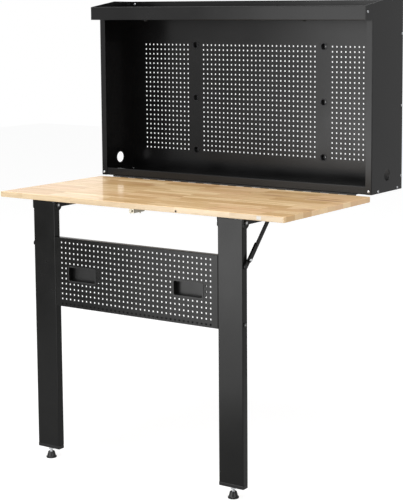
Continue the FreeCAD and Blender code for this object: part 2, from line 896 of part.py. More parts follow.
def link(x, start, end):
    """A flat bar with round ends between two pivots."""
    radius = stay_width / 2
    way = (end - start).normalize()
    side = Vector(1, 0, 0).cross(way) * radius
    base = Vector(x, 0, 0)
    near_end = base + start
    far_end = base + end
    edges = [
        Part.LineSegment(near_end + side, far_end + side).toShape(),
        Part.Arc(far_end + side, far_end + way * radius, far_end - side).toShape(),
        Part.LineSegment(far_end - side, near_end - side).toShape(),
        Part.Arc(near_end - side, near_end - way * radius, near_end + side).toShape(),
    ]
    return Part.Face(Part.Wire(edges)).extrude(Vector(stay_thickness, 0, 0))


def stay_lower():
    """Lower link, from the leg to the knee; the foot bolt's head is sunk in it."""
    face_x = lower_link_x + stay_thickness
    seat_x = face_x - stay_sunk_head - fit
    bore = bar_x(cross_bolt_radius + fit, lower_link_x - over, face_x + over, stay_foot)
    sink = bar_x(stay_pin_head_radius + fit, seat_x, face_x + over, stay_foot)
    return cut_all(link(lower_link_x, stay_foot, knee), [bore, sink])


def stay_upper():
    """Upper link, from the rail past the knee to the stop stud."""
    bar = link(upper_link_x, stay_head, stud_place)
    holes = []
    for place in (stay_head, knee, stud_place):
        bore = bar_x(stay_pin_radius + fit, upper_link_x - over, upper_link_face_x + over, place)
        holes.append(bore)
    return cut_all(bar, holes)


def link_rivet(place, head_radius, head_height):
    """A rivet in the upper link with its head on the outer side."""
    seat = Vector(upper_link_face_x, place.y, place.z)
    out = Vector(1, 0, 0)
    return pan_screw(stay_pin_radius, stay_thickness, head_radius, head_height, seat, out)


def stay_head_pin():
    """Pin that carries the upper link on the rail's outer cheek."""
    inner_face = cheek_outer_x - rail_sheet
    outer_face = upper_link_face_x + fit
    shank = bar_x(stay_pin_radius, inner_face, outer_face, stay_head)
    head = bar_x(stay_pin_head_radius, outer_face, outer_face + stay_pin_head_height, stay_head)
    return fuse([shank, head])


def head_spacer():
    """Tube between the rail's cheek and the upper link."""
    outer = bar_x(stay_pin_head_radius, cheek_outer_x, upper_link_x - fit, stay_head)
    return outer.cut(bar_x(stay_pin_radius + fit, cheek_outer_x, upper_link_x, stay_head))


def cup_centre_x():
    """Distance of each handle cup from the middle of the cross panel."""
    return ((panel_columns - 1) / 2 - sum(cup_columns) / 2) * panel_pitch


def panel_row_z(row):
    """Height of a row of the cross panel's holes."""
    return panel_top_z - panel_first_row - row * panel_pitch


def cup_outline(grow, y, corner):
    """The right cup's outline, grown on every side."""
    x = cup_centre_x()
    z = panel_row_z(sum(cup_rows) / 2)
    half_x = cup_width / 2 + grow
    half_z = cup_height / 2 + grow
    return rounded_rectangle(x - half_x, x + half_x, z - half_z, z + half_z, y, corner)


def cup_block(grow, y0, y1, corner):
    """A block on the right cup's outline, grown on every side."""
    return Part.Face(cup_outline(grow, y0, corner)).extrude(Vector(0, y1 - y0, 0))


def panel_hole_centres():
    """Holes of the cross panel, with room for the two cups."""
    centres = []
    last = panel_columns - 1
    for column in range(panel_columns):
        mirrored_column = min(column, last - column)
        at_cup_column = cup_columns[0] <= mirrored_column <= cup_columns[1]
        for row in range(panel_rows):
            if at_cup_column and cup_rows[0] <= row <= cup_rows[1]:
                continue
            centres.append(((column - last / 2) * panel_pitch, panel_row_z(row)))
    return centres


def cross_panel():
    """Perforated panel folded into a shallow pan that is open to the rear."""
    half = leg_inner_x
    wall = panel_sheet
    pan = box(-half, half, leg_front_y, panel_rear_y, panel_bottom_z, panel_top_z)
    front_edges = straight_edges(pan, lambda middle, way: near(middle.y, leg_front_y))
    pan = pan.makeFillet(panel_bend, front_edges)
    inside = box(
        -half + wall,
        half - wall,
        leg_front_y + wall,
        panel_rear_y + over,
        panel_bottom_z + wall,
        panel_top_z - wall,
    )
    margin = panel_bend + wall
    window = (-half + margin, half - margin, panel_bottom_z + margin, panel_top_z - margin)
    frame_cut = box(*window[:2], leg_front_y - over, leg_front_y + margin, *window[2:])
    rear_return = box(
        -half,
        half,
        panel_rear_y - wall,
        panel_rear_y,
        panel_bottom_z,
        panel_bottom_z + panel_return,
    )
    bolts = []
    for centre in cross_bolt_centres():
        bolts.append(bar_x(cross_bolt_radius + fit, half - wall - over, half + over, centre))
    pan = cut_all(pan, [inside, frame_cut] + both_sides(bolts)).fuse(rear_return)
    cups = both_sides([cup_outline(0, leg_front_y, cup_corner)])
    return pan.fuse(pegboard(*window, leg_front_y, wall, panel_hole_centres(), cups))


def handle_cup():
    """Right handle cup: a pocket with a thin rim on the panel's face."""
    rim_front = leg_front_y - cup_rim_thickness
    rim = cup_block(cup_rim, rim_front, leg_front_y, cup_corner + cup_rim)
    pocket = cup_block(-cup_gap, rim_front, panel_rear_y, cup_corner - cup_gap)
    hollow_corner = cup_corner - cup_gap - cup_wall
    hollow = cup_block(-cup_gap - cup_wall, rim_front, panel_rear_y - cup_wall, hollow_corner)
    return cut_all(fuse([rim, pocket]), [hollow])


def leg_cap():
    """Right leg cap: a foot block with a plug inside the leg."""
    foot = box(
        leg_inner_x - cap_overhang,
        leg_outer_x + cap_overhang,
        leg_front_y - cap_overhang,
        leg_rear_y + cap_overhang,
        cap_bottom_z,
        leg_bottom_z,
    )
    sides = straight_edges(foot, lambda middle, way: near(abs(way.z), 1))
    foot = foot.makeFillet(leg_bend, sides)
    foot = foot.makeFillet(
        cap_edge_radius,
        [edge for edge in foot.Edges if near(edge.BoundBox.ZLength, 0)],
    )
    plug = box(
        leg_inner_x + leg_sheet + cap_plug_gap,
        leg_outer_x - leg_sheet - cap_plug_gap,
        leg_front_y + leg_sheet + cap_plug_gap,
        leg_rear_y - leg_sheet,
        leg_bottom_z - over,
        leg_bottom_z + cap_plug,
    )
    start = Vector(leg_x, foot_y, cap_bottom_z - over)
    plug_edges = straight_edges(
        plug,
        lambda middle, way: near(abs(way.z), 1) and middle.y < foot_y,
    )
    plug = plug.makeFillet(leg_bend - leg_sheet, plug_edges)
    end = Vector(leg_x, foot_y, leg_bottom_z + cap_plug + over)
    thread = cylinder(stud_foot_radius + fit, start, end)
    return cut_all(fuse([foot, plug]), [thread])


def foot_locknut():
    """Nut that locks the right foot's stud under the cap."""
    start = Vector(leg_x, foot_y, cap_bottom_z)
    return nut(locknut_flats, stud_foot_radius, start, start - Vector(0, 0, locknut_height))


def foot_stud():
    """Threaded stud of the right foot."""
    low = floor_z + pad_height - stud_foot_seat
    start = Vector(leg_x, foot_y, low)
    return cylinder(stud_foot_radius, start, Vector(leg_x, foot_y, cap_bottom_z + stud_foot_top))


def foot_pad():
    """Right foot's pad: a rim on the floor and a cone with a dished top around the stud."""
    base = Vector(leg_x, foot_y, floor_z)
    up = Vector(0, 0, 1)
    rim = Part.makeCylinder(pad_radius, pad_rim, base, up)
    cone = Part.makeCone(pad_radius, pad_top_radius, pad_height - pad_rim, base + up * pad_rim, up)
    socket_start = base + up * (pad_height - stud_foot_seat)
    above = base + up * (pad_height + over)
    socket = cylinder(stud_foot_radius + fit, socket_start, above)
    dish = cylinder(pad_dish_radius, base + up * (pad_height - pad_dish), above)
    return cut_all(fuse([rim, cone]), [socket, dish])


def latch_body():
    """Latch housing: a block with a bore, a slot for the knob and two ears."""
    rear = rail_front_y + latch_length
    low = board_under_z - latch_height
    half = latch_width / 2
    block = box(latch_offset - half, latch_offset + half, rail_front_y, rear, low, board_under_z)
    edges = straight_edges(
        block,
        lambda middle, way: near(abs(way.y), 1) and near(middle.z, low),
    )
    block = block.makeFillet(latch_edge_radius, edges)
    ears = box(
        latch_offset - half - latch_ear,
        latch_offset + half + latch_ear,
        rear - latch_ear_length,
        rear,
        board_under_z - latch_ear_thickness,
        board_under_z,
    )
    bore_start = Vector(latch_offset, rail_front_y - over, latch_bolt_z)
    bore_end = Vector(latch_offset, rear + over, latch_bolt_z)
    bore = cylinder(latch_bolt_radius + fit, bore_start, bore_end)
    knob_y = latch_tip_y + latch_knob_back
    reach = latch_knob_radius + latch_slot_gap
    slot = box(
        latch_offset - reach,
        latch_offset + reach,
        knob_y - latch_travel - reach,
        knob_y + reach,
        low - over,
        latch_bolt_z,
    )
    holes = [bore, slot]
    for seat in latch_screw_seats():
        top = Vector(seat.x, seat.y, board_under_z)
        holes.append(cylinder(latch_screw_radius + fit, seat - Vector(0, 0, over), top))
    return cut_all(fuse([block, ears]), holes)


def latch_bolt():
    """Sliding bolt with a knob below and a bevelled tip."""
    start = Vector(latch_offset, latch_tip_y, latch_bolt_z)
    end = start + Vector(0, latch_bolt_length, 0)
    bar = cylinder(latch_bolt_radius, start, end)
    tip = [edge for edge in bar.Edges if near(edge.CenterOfMass.y, latch_tip_y)]
    bar = bar.makeChamfer(latch_bolt_bevel, tip)
    knob_start = start + Vector(0, latch_knob_back, 0)
    reach = latch_height / 2 + latch_knob_reach
    knob = cylinder(latch_knob_radius, knob_start, knob_start - Vector(0, 0, reach))
    return fuse([bar, knob])


def latch_screws():
    """Screws through the latch's ears."""
    size = (latch_screw_radius, latch_screw_length, latch_screw_head_radius, latch_screw_head_height)
    return [pan_screw(*size, seat, Vector(0, 0, -1)) for seat in latch_screw_seats()]


def save_pair(name, shape):
    """Write a right-hand piece and its left-hand twin."""
    save(name + "_right", [shape])
    save(name + "_left", [mirrored(shape)])


def build_cabinet():
    """Write the pieces that stay on the wall."""
    holes = case_screw_holes()
    leaf_holes = hinge_screw_holes(
        cabinet_leaf_screw_seats(), Vector(0, 0, -1), cabinet_leaf_screw_length
    )
    save_pair("side_panel", cut_all(side_panel(), holes))
    save("bottom_panel", [cut_all(bottom_panel(), holes + leaf_holes)])
    save("back_panel", [back_panel()])
    save("hood_fascia", [cut_all(hood_fascia(), holes)])
    save("hood_tray", [hood_tray()])
    save("hood_buffers", hood_buffers())
    save("cabinet_screws", case_screws())
    save("wall_spacers", wall_spacers())
    save("hinge_leaf_cabinet", [cabinet_leaf()])
    save("hinge_pin", [hinge_pin()])
    cabinet_leaf_screws = hinge_screws(
        cabinet_leaf_screw_seats(), Vector(0, 0, -1), cabinet_leaf_screw_length
    )
    save("hinge_screws_cabinet", cabinet_leaf_screws)


def build_worktop():
    """Write the pieces that swing with the worktop."""
    save("worktop", [worktop()])
    save("hinge_leaf_worktop", [board_leaf()])
    board_screws = hinge_screws(
        board_leaf_screw_seats(), Vector(0, 1, 0), board_leaf_screw_length
    )
    save("hinge_screws_worktop", board_screws)
    save_pair("leg_rail", leg_rail())
    save("rail_screws", rail_screws())
    right_bolt = leg_pivot_bolt(cheek_inner_x, cheek_outer_x, 1)
    left_bolt = mirrored(leg_pivot_bolt(cheek_inner_x, cheek_outer_x, -1))
    save("leg_pivot_bolts", [right_bolt, left_bolt])
    right_nut = leg_pivot_nut(cheek_inner_x, -1)
    left_nut = mirrored(leg_pivot_nut(cheek_outer_x, 1))
    save("leg_pivot_nuts", [right_nut, left_nut])
    save("stay_head_pins", both_sides([stay_head_pin()]))
    save("stay_head_spacers", both_sides([head_spacer()]))
    save("latch_body", [latch_body()])
    save("latch_screws", latch_screws())
    save("latch_bolt", [latch_bolt()])


def build_legs():
    """Write the pieces that swing with the legs, and the stays."""
    save_pair("leg", leg())
    save("cross_panel", [cross_panel()])
    save_pair("handle_cup", handle_cup())
    save_pair("leg_cap", leg_cap())
    save("cross_bolts_upper", both_sides([upper_cross_bolt()]))
    save("cross_bolts_lower", both_sides([lower_cross_bolt()]))
    save("cross_nuts", both_sides(cross_nuts()))
    save("stay_foot_spacers", both_sides([foot_spacer()]))
    save("foot_locknuts", both_sides([foot_locknut()]))
    save_pair("stay_lower", stay_lower())
    save_pair("stay_upper", stay_upper())
    save_pair("stay_knee_rivet", link_rivet(knee, knee_rivet_radius, knee_rivet_height))
    save_pair("stay_stop_stud", link_rivet(stud_place, stud_radius, stud_height))
    save_pair("foot_stud", foot_stud())
    save_pair("foot_pad", foot_pad())


os.makedirs("parts", exist_ok=True)
build_cabinet()
build_worktop()
build_legs()
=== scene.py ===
from math import cos, pi, sin, tau

import bmesh
import bpy
from mathutils import Euler, Matrix, Vector


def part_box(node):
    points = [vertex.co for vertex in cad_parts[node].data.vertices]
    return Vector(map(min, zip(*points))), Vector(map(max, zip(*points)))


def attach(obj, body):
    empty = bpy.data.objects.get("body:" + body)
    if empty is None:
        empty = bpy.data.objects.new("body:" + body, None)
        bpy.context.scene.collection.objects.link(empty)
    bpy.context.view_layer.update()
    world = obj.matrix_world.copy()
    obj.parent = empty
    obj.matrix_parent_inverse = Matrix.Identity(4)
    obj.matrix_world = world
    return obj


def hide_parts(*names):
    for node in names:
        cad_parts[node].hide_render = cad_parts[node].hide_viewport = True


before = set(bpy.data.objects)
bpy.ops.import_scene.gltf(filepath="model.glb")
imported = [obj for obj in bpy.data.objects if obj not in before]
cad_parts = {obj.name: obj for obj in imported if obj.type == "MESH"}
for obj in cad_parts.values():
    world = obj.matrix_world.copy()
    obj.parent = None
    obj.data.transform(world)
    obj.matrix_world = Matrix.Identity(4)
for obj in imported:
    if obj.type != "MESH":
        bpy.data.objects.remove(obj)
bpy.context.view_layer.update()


# ---------------------------------------------------------------- Case: sides, bottom and hood
# The case is cut and folded from 1.5 mm steel sheet, screwed at the corners and powder coated
# in a smooth gloss black. The coat is a little thinner on the folds, and its skin is never flat.
def add(tree, kind, sockets=None, **settings):
    """Adds a node, sets it up, and gives its sockets a value or another node's output."""
    node = tree.nodes.new(kind)
    for name, value in settings.items():
        setattr(node, name, value)
    for name, value in (sockets or {}).items():
        if isinstance(value, bpy.types.NodeSocket):
            tree.links.new(value, node.inputs[name])
        else:
            node.inputs[name].default_value = value
    return node


def effect(name, inputs, outputs):
    """Starts a shader node group, and returns it with its input node and a way to end it."""
    group = bpy.data.node_groups.new(name, "ShaderNodeTree")
    for label, kind, value in inputs:
        group.interface.new_socket(label, in_out="INPUT", socket_type=kind).default_value = value
    for label, kind in outputs:
        group.interface.new_socket(label, in_out="OUTPUT", socket_type=kind)
    given = group.nodes.new("NodeGroupInput").outputs

    def close(**results):
        end = group.nodes.new("NodeGroupOutput")
        for label, socket in results.items():
            group.links.new(socket, end.inputs[label])

    return group, given, close


def math(tree, operation, *values):
    """One arithmetic step; gives back its result."""
    return add(tree, "ShaderNodeMath", dict(enumerate(values)), operation=operation).outputs[0]


def noise(tree, place, scale, detail=2.0, roughness=0.5, distortion=0.0):
    """Noise at a place; gives back its value from 0 to 1."""
    sockets = {"Vector": place, "Scale": scale, "Detail": detail,
               "Roughness": roughness, "Distortion": distortion}
    return add(tree, "ShaderNodeTexNoise", sockets).outputs["Fac"]


def between(tree, value, low, high, start=0.0, end=1.0):
    """Maps low..high to start..end, without going past either."""
    sockets = {"Value": value, "From Min": low, "From Max": high, "To Min": start, "To Max": end}
    return add(tree, "ShaderNodeMapRange", sockets).outputs[0]


def mix(tree, share, first, second, how="MIX"):
    """Mixes two colours; each is a socket or a colour."""
    sockets = {0: share}
    for place, colour in ((6, first), (7, second)):
        sockets[place] = (*colour, 1) if isinstance(colour, tuple) else colour
    return add(tree, "ShaderNodeMix", sockets, data_type="RGBA", blend_type=how).outputs[2]


def finish(name):
    """A new material: its tree, its Principled shader, and the place on the piece in metres."""
    material = bpy.data.materials.new(name)
    material.use_nodes = True
    tree = material.node_tree
    place = add(tree, "ShaderNodeTexCoord").outputs["Object"]
    return material, tree, tree.nodes["Principled BSDF"], place


def join(tree, shader, **sockets):
    """Feeds the shader's sockets; an underscore in a name stands for a space."""
    for name, value in sockets.items():
        socket = shader.inputs[name.replace("_", " ")]
        if isinstance(value, bpy.types.NodeSocket):
            tree.links.new(value, socket)
        else:
            socket.default_value = value


# Skin of a sprayed or moulded surface: fine pebbling, and slow drifts in tone
skin, given, close = effect(
    "surface_skin",
    [("Place", "NodeSocketVector", (0, 0, 0)), ("Pebbles", "NodeSocketFloat", 900.0),
     ("Drift", "NodeSocketFloat", 7.0)],
    [("Height", "NodeSocketFloat"), ("Tone", "NodeSocketFloat"), ("Specks", "NodeSocketFloat")])
pebbles = noise(skin, given["Place"], given["Pebbles"], 2.0, 0.45)
drift = noise(skin, given["Place"], given["Drift"], 4.0, 0.6)
dust = add(skin, "ShaderNodeTexVoronoi", {"Vector": given["Place"], "Scale": 260.0}).outputs["Distance"]
thin = noise(skin, given["Place"], 31.0, 3.0, 0.6)
specks = math(skin, "MULTIPLY", between(skin, dust, 0.16, 0.08), between(skin, thin, 0.56, 0.66))
close(Height=pebbles, Tone=drift, Specks=specks)

# Folds and cut edges: a small radius, and a mask where the coat or the surface is rubbed thin
rubbed_edge, given, close = effect(
    "rubbed_edge", [("Radius", "NodeSocketFloat", 0.0007)],
    [("Normal", "NodeSocketVector"), ("Mask", "NodeSocketFloat")])
round_edge = add(rubbed_edge, "ShaderNodeBevel", {"Radius": given["Radius"]}, samples=4).outputs[0]
flat = add(rubbed_edge, "ShaderNodeNewGeometry").outputs["Normal"]
turned = add(rubbed_edge, "ShaderNodeVectorMath", {0: round_edge, 1: flat}, operation="DOT_PRODUCT")
close(Normal=round_edge, Mask=between(rubbed_edge, turned.outputs["Value"], 0.985, 0.80))


def powder_coat(name, colour, thin_colour, low, high, gloss=1.34, pebbles=850.0):
    """Gloss powder coat: roughness from low to high, and a thinner coat on the edges."""
    material, tree, shader, place = finish(name)
    spray = add(tree, "ShaderNodeGroup", node_tree=skin)
    join(tree, spray, Place=place, Pebbles=pebbles)
    edge = add(tree, "ShaderNodeGroup", node_tree=rubbed_edge)
    tone = mix(tree, between(tree, spray.outputs["Tone"], 0.35, 0.7), colour, tuple(c * 1.6 for c in colour))
    worn = mix(tree, math(tree, "MULTIPLY", edge.outputs["Mask"], 0.55), tone, thin_colour)
    dusty = mix(tree, math(tree, "MULTIPLY", spray.outputs["Specks"], 0.25), worn, (0.10, 0.10, 0.095))
    bump = add(tree, "ShaderNodeBump", {
        "Strength": 0.35, "Distance": 0.00003,
        "Height": spray.outputs["Height"], "Normal": edge.outputs["Normal"]}).outputs[0]
    rough = between(tree, spray.outputs["Tone"], 0.3, 0.75, low, high)
    join(tree, shader, Base_Color=dusty, Roughness=rough, Normal=bump, IOR=gloss)
    return material


def dress(material, *names):
    """Gives CAD nodes their finish."""
    for name in names:
        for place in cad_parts[name].material_slots:
            place.material = material


case_coat = powder_coat("case_powder_coat", (0.0030, 0.0030, 0.0031), (0.02, 0.02, 0.02), 0.20, 0.29)
dress(case_coat, "side_panel_right", "side_panel_left", "bottom_panel", "hood_fascia", "hood_tray")


# ---------------------------------------------------------------- Perforated back
# The back is one sheet, punched with square holes from the front on a regular grid, so each hole
# has a small rolled lip. Two strips stay plain round the wall bolts, and the edges fold back.
sheet = 0.0015
roll = 0.0003
hole_size = 0.005
back_pitch = 0.0155
back_columns, back_rows = 58, 23
bolt_x, bolt_z = 0.24025, 0.1705
cup_neck = 0.01055


def punched_cell(name, hole, left, right, below, above, thickness):
    """The steel round one square hole, as seen from the front at the origin; few faces."""
    cut = hole * 0.18
    reach = hole / 2

    def outline(grow, y):
        a, b = reach + grow, reach - cut + grow * 0.4
        around = [(a, -b), (a, b), (b, a), (-b, a), (-a, b), (-a, -b), (-b, -a), (b, -a)]
        return [shape.verts.new((x, y, z)) for x, z in around]

    shape = bmesh.new()
    corners = [(right, -below), (right, above), (-left, above), (-left, -below)]
    front = [shape.verts.new((x, 0, z)) for x, z in corners]
    back = [shape.verts.new((x, thickness, z)) for x, z in corners]
    lips = [outline(roll, 0), outline(0, roll * 0.8), outline(0, thickness)]
    for square, ring, outward in ((front, lips[0], 1), (back, lips[2], -1)):
        for side in range(4):
            low, high = ring[2 * side], ring[2 * side + 1]
            here, following = square[side], square[(side + 1) % 4]
            for face in ([here, following, high, low], [following, ring[(2 * side + 2) % 8], high]):
                shape.faces.new(face[::outward])
    for first, second, smooth in ((lips[0], lips[1], True), (lips[1], lips[2], False)):
        for place in range(8):
            following = (place + 1) % 8
            face = shape.faces.new([first[place], first[following], second[following], second[place]])
            face.smooth = smooth
    mesh = bpy.data.meshes.new(name)
    shape.to_mesh(mesh)
    cell = bpy.data.objects.new(name, mesh)
    bpy.context.scene.collection.objects.link(cell)
    return cell


def grow_tree(name, inputs):
    """Starts a Geometry Nodes tree with named inputs, and returns it with its input node."""
    tree = bpy.data.node_groups.new(name, "GeometryNodeTree")
    tree.interface.new_socket("Geometry", in_out="INPUT", socket_type="NodeSocketGeometry")
    for label, kind in inputs:
        tree.interface.new_socket(label, in_out="INPUT", socket_type="NodeSocket" + kind)
    tree.interface.new_socket("Geometry", in_out="OUTPUT", socket_type="NodeSocketGeometry")
    return tree, tree.nodes.new("NodeGroupInput").outputs


def end_tree(tree, instances, finish_socket, weld=None):
    """Ends a tree with real geometry, welded where that is asked for, in its finish."""
    real = add(tree, "GeometryNodeRealizeInstances", {"Geometry": instances}).outputs[0]
    if weld:
        real = add(tree, "GeometryNodeMergeByDistance", {"Geometry": real, "Distance": weld}).outputs[0]
    painted = add(tree, "GeometryNodeSetMaterial", {"Geometry": real, "Material": finish_socket}).outputs[0]
    add(tree, "NodeGroupOutput", {"Geometry": painted})


def grown(name, tree, mesh, given):
    """Runs a tree once on a mesh with its inputs, and returns the result as a plain mesh."""
    holder = bpy.data.objects.new(name, mesh)
    modifier = holder.modifiers.new(name, "NODES")
    modifier.node_group = tree
    for item in tree.interface.items_tree:
        if item.in_out == "INPUT" and item.name in given:
            modifier[item.identifier] = given[item.name]
    bpy.context.scene.collection.objects.link(holder)
    evaluated = holder.evaluated_get(bpy.context.evaluated_depsgraph_get())
    result = bpy.data.meshes.new_from_object(evaluated)
    bpy.data.objects.remove(holder)
    return result


# A grid of cells on an upright sheet, with a plain box left out on the left and on the right
punching, given = grow_tree("punched_field", [
    ("Cell", "Object"), ("Columns", "Int"), ("Rows", "Int"), ("Pitch", "Float"), ("Centre", "Vector"),
    ("Plain X", "Float"), ("Plain Z", "Float"), ("Plain Width", "Float"), ("Plain Height", "Float"),
    ("Finish", "Material")])
width = math(punching, "MULTIPLY", math(punching, "SUBTRACT", given["Columns"], 1.0), given["Pitch"])
height = math(punching, "MULTIPLY", math(punching, "SUBTRACT", given["Rows"], 1.0), given["Pitch"])
grid = add(punching, "GeometryNodeMeshGrid", {
    "Size X": width, "Size Y": height, "Vertices X": given["Columns"], "Vertices Y": given["Rows"]})
points = add(punching, "GeometryNodeMeshToPoints", {"Mesh": grid.outputs["Mesh"]}).outputs[0]
stood = add(punching, "GeometryNodeTransform", {
    "Geometry": points, "Translation": given["Centre"], "Rotation": (pi / 2, 0, 0)}).outputs[0]
position = add(punching, "GeometryNodeInputPosition").outputs[0]
spot = add(punching, "ShaderNodeSeparateXYZ", {0: position}).outputs
from_middle = math(punching, "ABSOLUTE", spot[0])
off_x = math(punching, "ABSOLUTE", math(punching, "SUBTRACT", from_middle, given["Plain X"]))
off_z = math(punching, "ABSOLUTE", math(punching, "SUBTRACT", spot[2], given["Plain Z"]))
plain = math(punching, "MULTIPLY", math(punching, "LESS_THAN", off_x, given["Plain Width"]),
             math(punching, "LESS_THAN", off_z, given["Plain Height"]))
cell = add(punching, "GeometryNodeObjectInfo", {"Object": given["Cell"], "As Instance": True})
cells = add(punching, "GeometryNodeInstanceOnPoints", {
    "Points": stood, "Instance": cell.outputs["Geometry"],
    "Selection": math(punching, "SUBTRACT", 1.0, plain)}).outputs[0]
end_tree(punching, cells, given["Finish"], weld=0.00002)


def folded_edges(node, x, low, high, front, thickness):
    """A merged copy of a node's mesh without the flat sheet inside a window."""
    shape = bmesh.new()
    shape.from_mesh(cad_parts[node].data)
    bmesh.ops.remove_doubles(shape, verts=shape.verts, dist=0.000002)
    slack = 0.00005
    middle = [face for face in shape.faces if all(
        abs(v.co.x) < x + slack and low - slack < v.co.z < high + slack
        and front - slack < v.co.y < front + thickness + slack for v in face.verts)]
    bmesh.ops.delete(shape, geom=middle, context="FACES")
    return shape


def plain_sheet(shape, x0, x1, z0, z1, front, openings=()):
    """Plain steel inside a rectangle, front and back, with openings cut through it."""
    for y, facing in ((front, -1), (front + sheet, 1)):
        edges = []
        for ring in [[(x0, z0), (x1, z0), (x1, z1), (x0, z1)], *openings]:
            verts = [shape.verts.new((x, y, z)) for x, z in ring]
            edges += [shape.edges.new((a, b)) for a, b in zip(verts, verts[1:] + verts[:1])]
        filled = bmesh.ops.triangle_fill(shape, use_beauty=True, edges=edges, normal=(0, facing, 0))
        for face in filled["geom"]:
            if isinstance(face, bmesh.types.BMFace) and face.normal.y * facing < 0:
                face.normal_flip()
    for ring in openings:
        walls = [[shape.verts.new((x, y, z)) for x, z in ring] for y in (front, front + sheet)]
        for place in range(len(ring)):
            following = (place + 1) % len(ring)
            shape.faces.new([walls[0][following], walls[0][place], walls[1][place], walls[1][following]])


def circle(x, z, radius, count=32):
    """Points round a circle on an upright face."""
    angles = [tau * step / count for step in range(count)]
    return [(x + radius * cos(angle), z + radius * sin(angle)) for angle in angles]


def stand_in(name, shape, material, slot, body, *nodes, sharp=0.6):
    """Finishes a piece from its mesh and lets it stand for its nodes."""
    mesh = shape
    if isinstance(shape, bmesh.types.BMesh):
        for edge in shape.edges:
            edge.smooth = len(edge.link_faces) == 2 and edge.calc_face_angle(0.0) < sharp
        mesh = bpy.data.meshes.new(name)
        shape.to_mesh(mesh)
        mesh.materials.append(material)
    piece = bpy.data.objects.new(name, mesh)
    bpy.context.scene.collection.objects.link(piece)
    if nodes:
        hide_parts(*nodes)
    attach(piece, body)
    return piece


def punched_panel(name, shape, material, body, node, fields):
    """Adds the punched fields to a panel's plain steel."""
    for cell, given in fields:
        base = bpy.data.meshes.new(name)
        field = grown(name, punching, base, {**given, "Cell": cell, "Finish": material})
        for face in field.polygons:
            face.material_index = 0
        shape.from_mesh(field)
        bpy.data.objects.remove(cell)
    bmesh.ops.remove_doubles(shape, verts=shape.verts, dist=0.00002)
    return stand_in(name, shape, material, "black_steel", body, node)


back_low, back_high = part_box("back_panel")
back_margin = 0.020
window_x, window_low, window_high = 0.4785, back_low.z + back_margin, back_high.z - back_margin
field_x, field_z = back_columns / 2 * back_pitch, back_rows / 2 * back_pitch
strip = 1.5 * back_pitch
back_shape = folded_edges("back_panel", window_x, window_low, window_high, back_low.y, sheet)
plain_sheet(back_shape, -window_x, window_x, window_low, -field_z, back_low.y)
plain_sheet(back_shape, -window_x, window_x, field_z, window_high, back_low.y)
for side in (-1, 1):
    plain_sheet(back_shape, *sorted((side * window_x, side * field_x)), -field_z, field_z, back_low.y)
    sockets = [circle(side * bolt_x, z, cup_neck) for z in (-bolt_z, 0.0, bolt_z)]
    plain_sheet(back_shape, side * bolt_x - strip, side * bolt_x + strip, -field_z, field_z,
                back_low.y, sockets)
half = back_pitch / 2
back_cell = punched_cell("back_cell", hole_size, half, half, half, half, sheet)
punched_panel("pegboard_back", back_shape, case_coat, "cabinet", "back_panel", [(back_cell, {
    "Columns": back_columns, "Rows": back_rows, "Pitch": back_pitch, "Centre": (0.0, back_low.y, 0.0),
    "Plain X": bolt_x, "Plain Z": 0.0, "Plain Width": strip, "Plain Height": 1.0})])


# ---------------------------------------------------------------- Wall cups
# Six steel cups fill the panel's round openings and take the heads of the wall bolts. They are
# blackened, and only their thin rims catch the light.
def metal(name, colour, low, high, shade, scratches=900.0):
    """Plated or bare metal with fine turning marks and uneven plating."""
    material, tree, shader, place = finish(name)
    stretched = add(tree, "ShaderNodeMapping", {"Vector": place, "Scale": (1.0, 1.0, 6.0)}).outputs[0]
    marks = noise(tree, stretched, scratches, 3.0, 0.6)
    patches = noise(tree, place, 140.0, 3.0, 0.6)
    edge = add(tree, "ShaderNodeGroup", node_tree=rubbed_edge)
    join(tree, edge, Radius=0.0004)
    plating = mix(tree, between(tree, patches, 0.35, 0.7), colour, shade)
    bright = mix(tree, math(tree, "MULTIPLY", edge.outputs["Mask"], 0.5), plating,
                 tuple(min(1.0, c * 1.35) for c in colour))
    bump = add(tree, "ShaderNodeBump", {
        "Strength": 0.4, "Distance": 0.00002, "Height": marks, "Normal": edge.outputs["Normal"]}).outputs[0]
    rough = between(tree, marks, 0.3, 0.7, low, high)
    join(tree, shader, Base_Color=bright, Roughness=rough, Normal=bump, Metallic=1.0)
    return material


dress(metal("blackened_cup_steel", (0.030, 0.030, 0.032), 0.28, 0.42, (0.018, 0.018, 0.018)), "wall_spacers")


# ---------------------------------------------------------------- Buffers
# Two soft black rubber buttons are pressed into the fascia's lower return. They keep the folded
# worktop off the steel, so their faces are matt and slightly dusty.
def moulded(name, colour, low, high, pebbles, height):
    """Moulded plastic or rubber with a sparked skin."""
    material, tree, shader, place = finish(name)
    shot = add(tree, "ShaderNodeGroup", node_tree=skin)
    join(tree, shot, Place=place, Pebbles=pebbles, Drift=22.0)
    edge = add(tree, "ShaderNodeGroup", node_tree=rubbed_edge)
    tone = mix(tree, between(tree, shot.outputs["Tone"], 0.3, 0.7), colour, tuple(c * 1.8 for c in colour))
    worn = mix(tree, math(tree, "MULTIPLY", edge.outputs["Mask"], 0.4), tone, tuple(c * 3.5 for c in colour))
    bump = add(tree, "ShaderNodeBump", {
        "Strength": 0.5, "Distance": height,
        "Height": shot.outputs["Height"], "Normal": edge.outputs["Normal"]}).outputs[0]
    rough = between(tree, shot.outputs["Tone"], 0.3, 0.7, low, high)
    join(tree, shader, Base_Color=worn, Roughness=rough, Normal=bump, IOR=1.37)
    return material


dress(moulded("buffer_rubber", (0.012, 0.012, 0.012), 0.65, 0.8, 1500.0, 0.00006), "hood_buffers")


# ---------------------------------------------------------------- Case screws
# Sixteen pan-head screws with a cross recess draw the case together at its corners and edges.
# They are cold headed steel, bright zinc plated, and no two stop at the same angle.
zinc = metal("bright_zinc", (0.62, 0.63, 0.64), 0.18, 0.34, (0.48, 0.49, 0.51))


